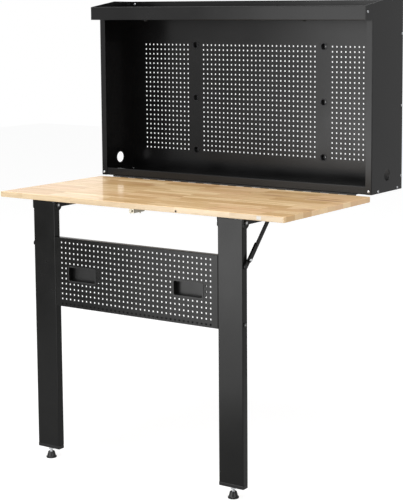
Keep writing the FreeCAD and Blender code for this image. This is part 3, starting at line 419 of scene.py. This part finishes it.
def cross_head(name, profile, reach, width, depth, sides=20):
    """A screw along +Z, turned from its profile of (radius, height), with a cross recess."""
    shape = bmesh.new()
    rings = [[shape.verts.new((radius * cos(tau * k / sides), radius * sin(tau * k / sides), z))
              for k in range(sides)] for radius, z in profile]
    shape.faces.new(rings[0][::-1])
    for low, high in zip(rings, rings[1:]):
        for k in range(sides):
            following = (k + 1) % sides
            shape.faces.new([low[k], low[following], high[following], high[k]]).smooth = True
    top = profile[-1][1]
    arm = [(reach, -width), (reach, width), (width, width)]
    cross = []
    for turn in range(4):
        c, s = round(cos(turn * pi / 2)), round(sin(turn * pi / 2))
        cross += [(x * c - y * s, x * s + y * c) for x, y in arm]
    rim = [shape.verts.new((x, y, top)) for x, y in cross]
    pit = [shape.verts.new((x * 0.5, y * 0.5, top - depth)) for x, y in cross]
    edges = [shape.edges.get((a, b)) or shape.edges.new((a, b))
             for ring in (rings[-1], rim) for a, b in zip(ring, ring[1:] + ring[:1])]
    bmesh.ops.triangle_fill(shape, use_beauty=True, edges=edges, normal=(0, 0, 1))
    for k in range(len(rim)):
        following = (k + 1) % len(rim)
        shape.faces.new([rim[k], rim[following], pit[following], pit[k]])
    shape.faces.new(pit)
    bmesh.ops.recalc_face_normals(shape, faces=shape.faces)
    for edge in shape.edges:
        edge.smooth = edge.calc_face_angle(0.0) < 0.6
    mesh = bpy.data.meshes.new(name)
    shape.to_mesh(mesh)
    screw = bpy.data.objects.new(name, mesh)
    bpy.context.scene.collection.objects.link(screw)
    return screw


def pan_head(name, head, height, shank, length):
    """A pan-head screw that seats at the origin."""
    profile = [(shank * 0.7, -length), (shank, -length + 0.0008), (shank, 0.0), (head, 0.0),
               (head, height * 0.5), (head * 0.95, height * 0.78), (head * 0.83, height * 0.94),
               (head * 0.68, height)]
    return cross_head(name, profile, head * 0.52, head * 0.12, height * 0.62)


# One screw at each seat, facing out along the seat's own direction, at a chance angle
screwing, given = grow_tree("screws_in_seats", [
    ("Screw", "Object"), ("Turn", "Float"), ("Seed", "Int"), ("Finish", "Material")])
facing = add(screwing, "GeometryNodeInputNamedAttribute", {"Name": "facing"}, data_type="FLOAT_VECTOR")
upright = add(screwing, "FunctionNodeAlignRotationToVector", {"Vector": facing.outputs[0]},
              axis="Z").outputs[0]
chance = add(screwing, "FunctionNodeRandomValue", {2: 0.0, 3: given["Turn"], "Seed": given["Seed"]},
             data_type="FLOAT").outputs[1]
spin = add(screwing, "FunctionNodeAxisAngleToRotation", {"Axis": (0, 0, 1), "Angle": chance}).outputs[0]
turned = add(screwing, "FunctionNodeRotateRotation", {"Rotation": upright, "Rotate By": spin},
             rotation_space="LOCAL").outputs[0]
screw = add(screwing, "GeometryNodeObjectInfo", {"Object": given["Screw"], "As Instance": True})
screws = add(screwing, "GeometryNodeInstanceOnPoints", {
    "Points": given["Geometry"], "Instance": screw.outputs["Geometry"], "Rotation": turned}).outputs[0]
end_tree(screwing, screws, given["Finish"])


def screws_at(name, seats, screw, finish, slot, body, node, seed):
    """Drives one screw into each seat (place, facing), and lets them stand for their node."""
    points = bpy.data.meshes.new(name)
    points.from_pydata([place for place, way in seats], [], [])
    facing = points.attributes.new("facing", "FLOAT_VECTOR", "POINT")
    facing.data.foreach_set("vector", [value for place, way in seats for value in way])
    given = {"Screw": screw, "Turn": tau, "Seed": seed, "Finish": finish}
    stand_in(name, grown(name, screwing, points, given), finish, slot, body, node)
    bpy.data.objects.remove(screw)


# Seats as (y, z) on each side's outer face, and as (x, y, z) on the two faces that look forward
case_side_x = 0.500
side_seats = ((-0.151, -0.245), (-0.030, -0.245), (-0.006, -0.212), (-0.006, -0.0015),
              (-0.006, 0.2115), (-0.221, 0.2755))
flange_seat, tray_seat = (0.4905, -0.190, -0.2415), (0.4870, -0.022, 0.3025)
case_seats = []
for side in (-1, 1):
    case_seats += [((side * case_side_x, y, z), (side, 0, 0)) for y, z in side_seats]
    case_seats += [((side * x, y, z), (0, -1, 0)) for x, y, z in (flange_seat, tray_seat)]
screws_at("case_screws", case_seats, pan_head("case_screw", 0.0040, 0.0024, 0.0020, 0.0070),
          zinc, "zinc", "cabinet", "cabinet_screws", 3)


# ---------------------------------------------------------------- Piano hinge
# Two rolled steel leaves on one long pin carry the worktop under the case's front edge. The leaves
# are coated black, the pin is oiled steel, and twelve countersunk screws hold each leaf.
dress(powder_coat("hinge_coat", (0.012, 0.012, 0.012), (0.06, 0.06, 0.06), 0.28, 0.4),
      "hinge_leaf_cabinet", "hinge_leaf_worktop")
dress(metal("oiled_pin_steel", (0.050, 0.048, 0.045), 0.30, 0.45, (0.030, 0.028, 0.026)), "hinge_pin")


def sunk_head(name, head, depth, shank, length):
    """A countersunk screw whose flat head ends at the origin."""
    profile = [(shank * 0.6, -length), (shank, -length + 0.0010), (shank, -depth),
               (head, 0.0), (head * 0.82, 0.0)]
    return cross_head(name, profile, head * 0.55, head * 0.13, depth * 0.9)


hinge_x = [-0.4125 + 0.075 * step for step in range(12)]
screws_at("hinge_screws_above", [((x, -0.175, -0.2527), (0, 0, -1)) for x in hinge_x],
          sunk_head("short_hinge_screw", 0.0029, 0.0012, 0.0016, 0.0050),
          zinc, "zinc", "cabinet", "hinge_screws_cabinet", 5)
screws_at("hinge_screws_behind", [((x, -0.1938, -0.2625), (0, 1, 0)) for x in hinge_x],
          sunk_head("long_hinge_screw", 0.0029, 0.0012, 0.0016, 0.0140),
          zinc, "zinc", "worktop_body", "hinge_screws_worktop", 7)


# ---------------------------------------------------------------- Worktop
# The board is glued up from finger-jointed staves of a pale rubberwood, sanded and clear
# lacquered. Staves run along the width; each block has its own tone and grain.
def board_wood():
    """Lacquered stave wood: block tones, growth lines, pores, and end grain at both ends."""
    stave, joint = 0.0430, 0.185
    material, tree, shader, place = finish("lacquered_staves")
    split = add(tree, "ShaderNodeSeparateXYZ", {0: place}).outputs
    across = math(tree, "DIVIDE", math(tree, "ADD", split[1], 1.0), stave)
    row = math(tree, "FLOOR", across)
    slip = add(tree, "ShaderNodeTexWhiteNoise", {"W": row}, noise_dimensions="1D").outputs["Value"]
    along = math(tree, "ADD", math(tree, "DIVIDE", split[0], joint), math(tree, "MULTIPLY", slip, 7.3))
    block = math(tree, "FLOOR", along)
    number = add(tree, "ShaderNodeCombineXYZ", {0: row, 1: block}).outputs[0]
    chance = add(tree, "ShaderNodeTexWhiteNoise", {"Vector": number}, noise_dimensions="2D").outputs
    shift = add(tree, "ShaderNodeVectorMath", {0: chance["Color"], 1: (3.0, 3.0, 3.0)},
                operation="MULTIPLY").outputs[0]
    inside = add(tree, "ShaderNodeVectorMath", {0: place, 1: shift}, operation="ADD").outputs[0]

    def drawn(scale):
        """The place inside a block, drawn out along the stave."""
        return add(tree, "ShaderNodeMapping", {"Vector": inside, "Scale": scale}).outputs[0]

    growth = noise(tree, drawn((3.2, 34.0, 34.0)), 1.6, 5.0, 0.62, 0.9)
    fine = noise(tree, drawn((9.0, 260.0, 260.0)), 1.0, 3.0, 0.6)
    pores = noise(tree, drawn((45.0, 900.0, 900.0)), 1.0, 1.0, 0.5)
    pale, honey = (0.96, 0.71, 0.405), (0.63, 0.39, 0.165)
    rose, brown, heartwood = (0.84, 0.54, 0.295), (0.38, 0.20, 0.075), (0.42, 0.20, 0.080)
    tone = mix(tree, between(tree, chance["Value"], 0.25, 0.85), pale, honey)
    second = add(tree, "ShaderNodeSeparateXYZ", {0: chance["Color"]}).outputs[1]
    tinted = mix(tree, between(tree, second, 0.45, 0.90, 0.0, 0.8), tone, rose)
    streaked = mix(tree, between(tree, growth, 0.45, 0.62, 0.0, 0.8), tinted, honey)
    dark = math(tree, "MULTIPLY", between(tree, growth, 0.55, 0.66),
                between(tree, chance["Value"], 0.40, 0.85))
    heart = mix(tree, math(tree, "MULTIPLY", dark, 0.8), streaked, brown)
    # Streaks of heartwood: x, y, half their length, half their width, and how dark they are
    for x, y, long, wide, share in (
            (0.430, -0.331, 0.090, 0.016, 0.85), (0.247, -0.317, 0.055, 0.014, 0.6),
            (-0.010, -0.232, 0.110, 0.016, 0.5), (0.245, -0.631, 0.034, 0.010, 0.4),
            (-0.220, -0.300, 0.070, 0.012, 0.5), (0.495, -0.520, 0.040, 0.018, 0.6)):
        oval = add(tree, "ShaderNodeMapping", {
            "Vector": place, "Location": (-x / long, -y / wide, 0.0),
            "Scale": (1 / long, 1 / wide, 0.0)}).outputs[0]
        reach = add(tree, "ShaderNodeVectorMath", {0: oval}, operation="LENGTH").outputs["Value"]
        ragged = math(tree, "ADD", reach, math(tree, "MULTIPLY", math(tree, "SUBTRACT", growth, 0.5), 2.2))
        heart = mix(tree, between(tree, ragged, 1.1, 0.45, 0.0, share), heart, heartwood)
    lined = mix(tree, between(tree, fine, 0.52, 0.8, 0.0, 0.32), heart, brown)
    pored = mix(tree, between(tree, pores, 0.66, 0.74, 0.0, 0.5), lined, brown)
    stave_gap = math(tree, "ABSOLUTE", math(tree, "SUBTRACT", math(tree, "FRACT", across), 0.5))
    block_gap = math(tree, "ABSOLUTE", math(tree, "SUBTRACT", math(tree, "FRACT", along), 0.5))
    seams = math(tree, "MAXIMUM", between(tree, stave_gap, 0.488, 0.4955),
                 between(tree, block_gap, 0.4975, 0.4992))
    glued = mix(tree, math(tree, "MULTIPLY", seams, 0.45), pored, brown)
    outward = add(tree, "ShaderNodeNewGeometry").outputs["Normal"]
    normal = add(tree, "ShaderNodeSeparateXYZ", {0: outward}).outputs
    end_face = between(tree, math(tree, "ABSOLUTE", normal[0]), 0.75, 0.9)
    rings = noise(tree, drawn((1.0, 60.0, 160.0)), 6.0, 3.0, 0.6, 1.5)
    end_grain = mix(tree, between(tree, rings, 0.4, 0.65, 0.0, 0.22), tinted, brown)
    ends = mix(tree, end_face, glued, end_grain)
    # The front edge is painted darker and greyer as painted shade, and has a filled knot, and a drilled hole
    # whose inside is a near-black disc of painted shade
    knot_x, knot_z = 0.4207, -0.2637
    knot_half_width, knot_half_height = 0.0070, 0.0046
    hole_mouth = (0.15, -0.6674, -0.2663)
    # painted shade: the faces that look forward are mixed towards a darker grey-brown
    front = between(tree, normal[1], -0.75, -0.9)
    front_shade = mix(tree, math(tree, "MULTIPLY", front, 0.65), ends, (0.50, 0.405, 0.275))
    off_x = math(tree, "ABSOLUTE", math(tree, "SUBTRACT", split[0], knot_x))
    off_z = math(tree, "ABSOLUTE", math(tree, "SUBTRACT", split[2], knot_z))
    off_knot = math(tree, "MAXIMUM", math(tree, "DIVIDE", off_x, knot_half_width),
                    math(tree, "DIVIDE", off_z, knot_half_height))
    knot = math(tree, "MULTIPLY", between(tree, off_knot, 1.1, 0.9), front)
    filled = mix(tree, knot, front_shade, (0.55, 0.53, 0.50))
    from_hole = add(tree, "ShaderNodeVectorMath", {0: place, 1: hole_mouth},
                    operation="DISTANCE").outputs["Value"]
    # painted shade: a near-black disc stands for the shaded inside of a drilled hole that is not modelled
    wood = mix(tree, between(tree, from_hole, 0.0042, 0.0030), filled, (0.035, 0.020, 0.012))
    edge = add(tree, "ShaderNodeGroup", node_tree=rubbed_edge)
    join(tree, edge, Radius=0.0009)
    relief = math(tree, "SUBTRACT", fine, math(tree, "MULTIPLY", seams, 0.8))
    bump = add(tree, "ShaderNodeBump", {
        "Strength": 0.3, "Distance": 0.00005, "Height": relief, "Normal": edge.outputs["Normal"]}).outputs[0]
    join(tree, shader, Base_Color=wood, Roughness=between(tree, growth, 0.4, 0.7, 0.42, 0.55), Normal=bump)
    join(tree, shader, Coat_Weight=0.5, Coat_Roughness=0.12, Coat_IOR=1.45)
    return material


dress(board_wood(), "worktop")


# ---------------------------------------------------------------- Rails and legs
# The legs are folded steel channels that hang in short rails screwed under the board. They are
# powder coated black, a little less glossy than the case.
leg_coat = powder_coat("leg_powder_coat", (0.0026, 0.0026, 0.0024), (0.02, 0.02, 0.02), 0.20, 0.29,
                       gloss=1.29)
dress(leg_coat, "leg_rail_right", "leg_rail_left", "leg_right", "leg_left")
rail_sheet = 0.002
rail_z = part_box("leg_rail_right")[1].z - rail_sheet
rail_seats = [((side * x, y, rail_z), (0, 0, -1))
              for side in (-1, 1) for x in (0.3084, 0.3484) for y in (-0.624, -0.579)]
screws_at("rail_wood_screws", rail_seats, pan_head("rail_screw", 0.0045, 0.0018, 0.0022, 0.0140),
          zinc, "zinc", "worktop_body", "rail_screws", 11)


# ---------------------------------------------------------------- Cross panel
# The pan between the legs is punched on a slightly finer grid than the back, with two windows
# for the handle cups. Its last row of holes sits close above the folded lower edge.
pan_pitch = 0.01507
pan_columns, pan_rows = 36, 13
pan_low, pan_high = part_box("cross_panel")
pan_fold = 0.0035
pan_x, pan_bottom, pan_top = pan_high.x - pan_fold, pan_low.z + pan_fold, pan_high.z - pan_fold
first_row_drop = 0.0137
first_row = pan_high.z - first_row_drop
pan_field_x = pan_columns / 2 * pan_pitch
pan_field_top = first_row + pan_pitch / 2
cup_row_z = first_row - 6 * pan_pitch
cup_low, cup_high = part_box("handle_cup_right")
cup_x = (cup_low.x + cup_high.x) / 2
plain_width, plain_height = 3.5 * pan_pitch, 1.5 * pan_pitch
window_width, window_height, window_corner = 0.0987, 0.0420, 0.005


def round_window(x, z, width, height, radius, steps=6):
    """Points round an upright window with round corners."""
    ring = []
    for turn, (sx, sz) in enumerate(((1, 1), (-1, 1), (-1, -1), (1, -1))):
        for step in range(steps + 1):
            angle = (turn + step / steps) * pi / 2
            ring.append((x + sx * (width / 2 - radius) + radius * cos(angle),
                         z + sz * (height / 2 - radius) + radius * sin(angle)))
    return ring


pan_shape = folded_edges("cross_panel", pan_x, pan_bottom, pan_top, pan_low.y, sheet)
# painted shade: the upward face inside the lower fold takes material 1, the darker matt coat added below
for face in pan_shape.faces:
    middle = face.calc_center_median()
    face.material_index = int(middle.y > pan_low.y + sheet / 2 and abs(middle.z - pan_low.z - sheet) < 0.0004
                              and face.normal.z > 0.5)
plain_sheet(pan_shape, -pan_field_x, pan_field_x, pan_field_top, pan_top, pan_low.y)
for side in (-1, 1):
    plain_sheet(pan_shape, *sorted((side * pan_x, side * pan_field_x)), pan_bottom, pan_top, pan_low.y)
    window = round_window(side * cup_x, cup_row_z, window_width, window_height, window_corner)
    plain_sheet(pan_shape, side * cup_x - plain_width, side * cup_x + plain_width,
                cup_row_z - plain_height, cup_row_z + plain_height, pan_low.y, [window])
half = pan_pitch / 2
last_row = first_row - (pan_rows - 1) * pan_pitch
pan_cell = punched_cell("pan_cell", hole_size, half, half, half, half, sheet)
low_cell = punched_cell("pan_low_cell", hole_size, half, half, last_row - pan_bottom, half, sheet)
upper_z = (first_row + last_row + pan_pitch) / 2
shared = {"Columns": pan_columns, "Pitch": pan_pitch, "Plain X": cup_x, "Plain Z": cup_row_z,
          "Plain Width": plain_width, "Plain Height": plain_height}
pan = punched_panel("perforated_pan", pan_shape, leg_coat, "leg_frame", "cross_panel", [
    (pan_cell, {**shared, "Rows": pan_rows - 1, "Centre": (0.0, pan_low.y, upper_z)}),
    (low_cell, {**shared, "Rows": 1, "Centre": (0.0, pan_low.y, last_row)})])
# The upward face inside the folded lower edge gets a darker, matt coat, which is painted shade for the inside
# of the fold
fold_shade_coat = powder_coat("fold_shade_matt_coat", (0.002, 0.002, 0.002), (0.01, 0.01, 0.01), 0.5, 0.6, gloss=1.12)
pan.data.materials.append(fold_shade_coat)


# ---------------------------------------------------------------- Bolts and nuts
# The nuts are zinc plated. The heads of the leg pivots and of the lower cross bolts were sprayed black with
# the legs; a bright bare-metal spot at their middles is a painted highlight.
def head_with_painted_highlight(name, y, z, bare):
    """A black head with a bright bare-metal spot round its axis as a painted highlight; the axis runs along X
    through (y, z).
    """
    material, tree, shader, place = finish(name)
    centred = add(tree, "ShaderNodeMapping", {
        "Vector": place, "Location": (0.0, -y, -z), "Scale": (0.0, 1.0, 1.0)}).outputs[0]
    off_axis = add(tree, "ShaderNodeVectorMath", {0: centred}, operation="LENGTH").outputs["Value"]
    ragged = math(tree, "ADD", off_axis, math(tree, "MULTIPLY", noise(tree, place, 600.0), 0.0006))
    # painted highlight: the mask of the bright bare-metal spot round the head's axis
    rubbed = between(tree, ragged, bare + 0.0007, bare)
    edge = add(tree, "ShaderNodeGroup", node_tree=rubbed_edge)
    join(tree, edge, Radius=0.0004)
    join(tree, shader, Base_Color=mix(tree, rubbed, (0.020, 0.020, 0.020), (0.66, 0.67, 0.68)),
         Metallic=rubbed, Roughness=between(tree, rubbed, 0.0, 1.0, 0.35, 0.24),
         Normal=edge.outputs["Normal"])
    return material


dress(zinc, "leg_pivot_nuts", "cross_nuts", "foot_locknuts")
dress(head_with_painted_highlight("pivot_head", -0.6540, -0.2825, 0.0034), "leg_pivot_bolts")
dress(head_with_painted_highlight("cross_bolt_head", -0.6570, -0.5595, 0.0018), "cross_bolts_lower")


# ---------------------------------------------------------------- Stays
# Each stay is two flat steel links that fold at a riveted knee, with a stop stud on the upper one.
# The links are coated as the legs are, their pins and rivets blackened, and the studs zinc plated.
black_steel = metal("black_oxide_steel", (0.045, 0.045, 0.047), 0.25, 0.4, (0.025, 0.025, 0.025))
dress(leg_coat, "stay_lower_right", "stay_lower_left", "stay_upper_right", "stay_upper_left")
dress(black_steel, "cross_bolts_upper", "stay_foot_spacers", "stay_head_pins", "stay_head_spacers",
      "stay_knee_rivet_right", "stay_knee_rivet_left")
dress(zinc, "stay_stop_stud_right", "stay_stop_stud_left")


# ---------------------------------------------------------------- Latch
# A sliding bolt under the front edge holds the folded worktop to the hood. Its pressed body is
# zinc plated with a dull yellowish passivation, as the bolt is.
dull_zinc = metal("passivated_zinc", (0.46, 0.43, 0.36), 0.24, 0.40, (0.33, 0.30, 0.23))
dress(dull_zinc, "latch_body", "latch_bolt")
screws_at("latch_wood_screws", [((x, -0.6294, rail_z), (0, 0, -1)) for x in (-0.017, 0.008)],
          pan_head("latch_screw", 0.0032, 0.0016, 0.00175, 0.0120),
          zinc, "zinc", "worktop_body", "latch_screws", 13)


# ---------------------------------------------------------------- Handle cups and leg caps
# Both are moulded in black plastic with a fine spark-eroded skin. The cups snap into the pan's
# windows, and the caps plug the open ends of the legs.
black_plastic = moulded("black_plastic", (0.0028, 0.0028, 0.0028), 0.28, 0.38, 1800.0, 0.00003)
dress(black_plastic, "handle_cup_right", "handle_cup_left", "leg_cap_right", "leg_cap_left")


# ---------------------------------------------------------------- Levelling feet
# Each foot is a moulded cone with a dished top, pressed on a zinc plated M8 stud that screws up
# into the leg's cap. The stud's rolled thread shows between the pad and the lock nut.
def turned_shape(shape, x, y, profile, sides=48):
    """Turns a profile of (radius, height) round an upright line; closed at both ends."""
    rings = [[shape.verts.new((x + radius * cos(tau * k / sides), y + radius * sin(tau * k / sides), z))
              for k in range(sides)] for radius, z in profile]
    for low, high in zip(rings, rings[1:]):
        for k in range(sides):
            following = (k + 1) % sides
            shape.faces.new([low[k], low[following], high[following], high[k]])
    shape.faces.new(rings[0][::-1])
    shape.faces.new(rings[-1])


def threaded_stud(shape, x, y, low, high, crest, pitch, sides=24, steps=6):
    """A stud with a rolled helical thread and a chamfer at each end."""
    root = crest - 0.61 * pitch
    count = round((high - low) / pitch * steps)
    profile = [0.0, 0.45, 0.95, 1.0, 0.55, 0.05]
    rings = []
    for level in range(count + 1):
        z = low + (high - low) * level / count
        end = min(1.0, (level + 0.5) / steps, (count - level + 0.5) / steps)
        ring = []
        for k in range(sides):
            phase = (level / steps - k / sides) % 1.0 * steps
            lower, share = int(phase) % steps, phase % 1.0
            bulge = profile[lower] * (1 - share) + profile[(lower + 1) % steps] * share
            radius = root + (crest - root) * bulge * end
            angle = tau * k / sides
            ring.append(shape.verts.new((x + radius * cos(angle), y + radius * sin(angle), z)))
        rings.append(ring)
    for lower, upper in zip(rings, rings[1:]):
        for k in range(sides):
            following = (k + 1) % sides
            shape.faces.new([lower[k], lower[following], upper[following], upper[k]]).smooth = True
    shape.faces.new(rings[0][::-1])
    shape.faces.new(rings[-1])


pad_profile = [(0.0142, 0.0), (0.0152, 0.0003), (0.0155, 0.0010), (0.0155, 0.0034), (0.0152, 0.0040),
               (0.0143, 0.0043), (0.0134, 0.0050), (0.0126, 0.0068), (0.0101, 0.0170), (0.0098, 0.0180),
               (0.0092, 0.0185), (0.0086, 0.0185), (0.0081, 0.0181), (0.0078, 0.0160), (0.0074, 0.0155),
               (0.0040, 0.0155)]
thread_pitch = 0.00125
for side in ("right", "left"):
    pad_low, pad_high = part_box("foot_pad_" + side)
    foot_x, foot_y = (pad_low.x + pad_high.x) / 2, (pad_low.y + pad_high.y) / 2
    pad = bmesh.new()
    turned_shape(pad, foot_x, foot_y, [(radius, pad_low.z + height) for radius, height in pad_profile])
    for face in pad.faces:
        face.smooth = len(face.verts) == 4
    stand_in("levelling_pad_" + side, pad, black_plastic, "black_plastic", "foot_" + side, "foot_pad_" + side)
    stud_low, stud_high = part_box("foot_stud_" + side)
    stud = bmesh.new()
    crest = (stud_high.x - stud_low.x) / 2
    threaded_stud(stud, foot_x, foot_y, stud_low.z, stud_high.z, crest, thread_pitch)
    stand_in("levelling_stud_" + side, stud, zinc, "zinc", "foot_" + side, "foot_stud_" + side, sharp=1.0)


# ---------------------------------------------------------------- Room
# A plain pale floor under the feet and a white surround. Four large soft lamps light the bench, two
# in front, one at the right and one above, and three cards shape the reflections in the gloss.
floor_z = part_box("foot_pad_right")[0].z
floor_mesh = bpy.data.meshes.new("floor")
floor_shape = bmesh.new()
bmesh.ops.create_grid(floor_shape, x_segments=1, y_segments=1, size=9.0)
floor_shape.to_mesh(floor_mesh)
floor_mesh.transform(Matrix.Translation((0, 0, floor_z)))
floor = bpy.data.objects.new("floor", floor_mesh)
bpy.context.scene.collection.objects.link(floor)

pale = bpy.data.materials.new("pale_floor")
pale.use_nodes = True
pale_tree = pale.node_tree
pale_shader = pale_tree.nodes["Principled BSDF"]
seen = add(pale_tree, "ShaderNodeLightPath").outputs
in_gloss = math(pale_tree, "MAXIMUM", seen["Is Glossy Ray"], seen["Is Transmission Ray"])
shine = math(pale_tree, "ADD", math(pale_tree, "MULTIPLY", seen["Is Camera Ray"], 0.82),
             math(pale_tree, "MULTIPLY", in_gloss, 0.50))
join(pale_tree, pale_shader, Base_Color=(0.34, 0.34, 0.34, 1.0), Roughness=0.9, Specular_IOR_Level=0.0,
     Emission_Color=(1.0, 1.0, 1.0, 1.0), Emission_Strength=shine)
floor_mesh.materials.append(pale)

world = bpy.data.worlds.new("white_surround")
bpy.context.scene.world = world
world.use_nodes = True
sky = world.node_tree
ray = add(sky, "ShaderNodeLightPath").outputs
shown = math(sky, "MAXIMUM", ray["Is Camera Ray"],
             math(sky, "MAXIMUM", ray["Is Glossy Ray"], ray["Is Transmission Ray"]))
sky.nodes["Background"].inputs["Color"].default_value = (1.0, 1.0, 1.0, 1.0)
sky.links.new(between(sky, shown, 0.0, 1.0, 0.42, 1.0), sky.nodes["Background"].inputs["Strength"])


def soft_lamp(name, place, target, width, height, power):
    """A rectangular soft lamp that faces a point."""
    lamp = bpy.data.lights.new(name, "AREA")
    lamp.shape, lamp.size, lamp.size_y, lamp.energy = "RECTANGLE", width, height, power
    holder = bpy.data.objects.new(name, lamp)
    bpy.context.scene.collection.objects.link(holder)
    holder.location = place
    holder.rotation_euler = (Vector(target) - Vector(place)).to_track_quat("-Z", "Y").to_euler()
    holder.visible_camera = False


soft_lamp("front_softbox", (-0.56, -2.6, 0.45), (0.15, -0.3, 0.45), 1.5, 1.3, 18)
soft_lamp("low_softbox", (-0.56, -2.6, -0.62), (0.15, -0.3, -0.62), 1.5, 0.84, 19)
soft_lamp("side_softbox", (3.4, -1.6, 0.6), (0.4, -0.4, -0.3), 1.6, 1.8, 45)
soft_lamp("top_softbox", (0.1, -1.3, 3.0), (0, -0.45, -0.25), 3.0, 2.0, 108)


# Three cards, seen only in the gloss of the steel: grey ones to the right of the bench and in front
# on the left, and a bright one on the floor in front
def plain_card(name, place, tilt, turn, width, height, light):
    """A card of an even tone that only reflections show; it is tilted from flat, then turned."""
    mesh = bpy.data.meshes.new(name)
    shape = bmesh.new()
    bmesh.ops.create_grid(shape, x_segments=1, y_segments=1, size=0.5)
    shape.to_mesh(mesh)
    mesh.transform(Matrix.Translation(place) @ Matrix.Rotation(turn, 4, "Z")
                   @ Matrix.Rotation(tilt, 4, "X") @ Matrix.Diagonal((width, height, 1.0, 1.0)))
    card = bpy.data.objects.new(name, mesh)
    bpy.context.scene.collection.objects.link(card)
    card.visible_camera = card.visible_diffuse = card.visible_shadow = False
    material = bpy.data.materials.new(name)
    material.use_nodes = True
    join(material.node_tree, material.node_tree.nodes["Principled BSDF"], Base_Color=(0.0, 0.0, 0.0, 1.0),
         Specular_IOR_Level=0.0, Emission_Color=(1.0, 1.0, 1.0, 1.0), Emission_Strength=light)
    mesh.materials.append(material)


plain_card("right_card", (0.95, 0.45, 0.1), pi / 2, -0.49, 2.6, 2.3, 0.62)
plain_card("left_card", (-2.10, -2.3, -0.79), pi / 2, -0.6, 1.1, 0.50, 0.30)
plain_card("floor_card", (-0.50, -1.90, floor_z + 0.002), 0.0, -0.594, 0.6, 1.15, 3.0)

view = bpy.data.cameras.new("camera")
camera = bpy.data.objects.new("camera", view)
bpy.context.scene.collection.objects.link(camera)
look_down, look_left, camera_roll = 0.1198, 0.5667, -0.0015
focal_pixels, picture_height = 1371.17, 500
camera.location = (2.3622, -3.6631, 0.2667)
aim = Euler((pi / 2 - look_down, 0, look_left), "XYZ").to_matrix()
camera.rotation_euler = (aim @ Matrix.Rotation(camera_roll, 3, "Z")).to_euler()
view.sensor_width = 36.0
view.lens = focal_pixels / picture_height * view.sensor_width
view.shift_x = -0.137
view.shift_y = -0.140
view.clip_end = 60.0
bpy.context.scene.camera = camera
bpy.context.scene.view_settings.view_transform = "Standard"
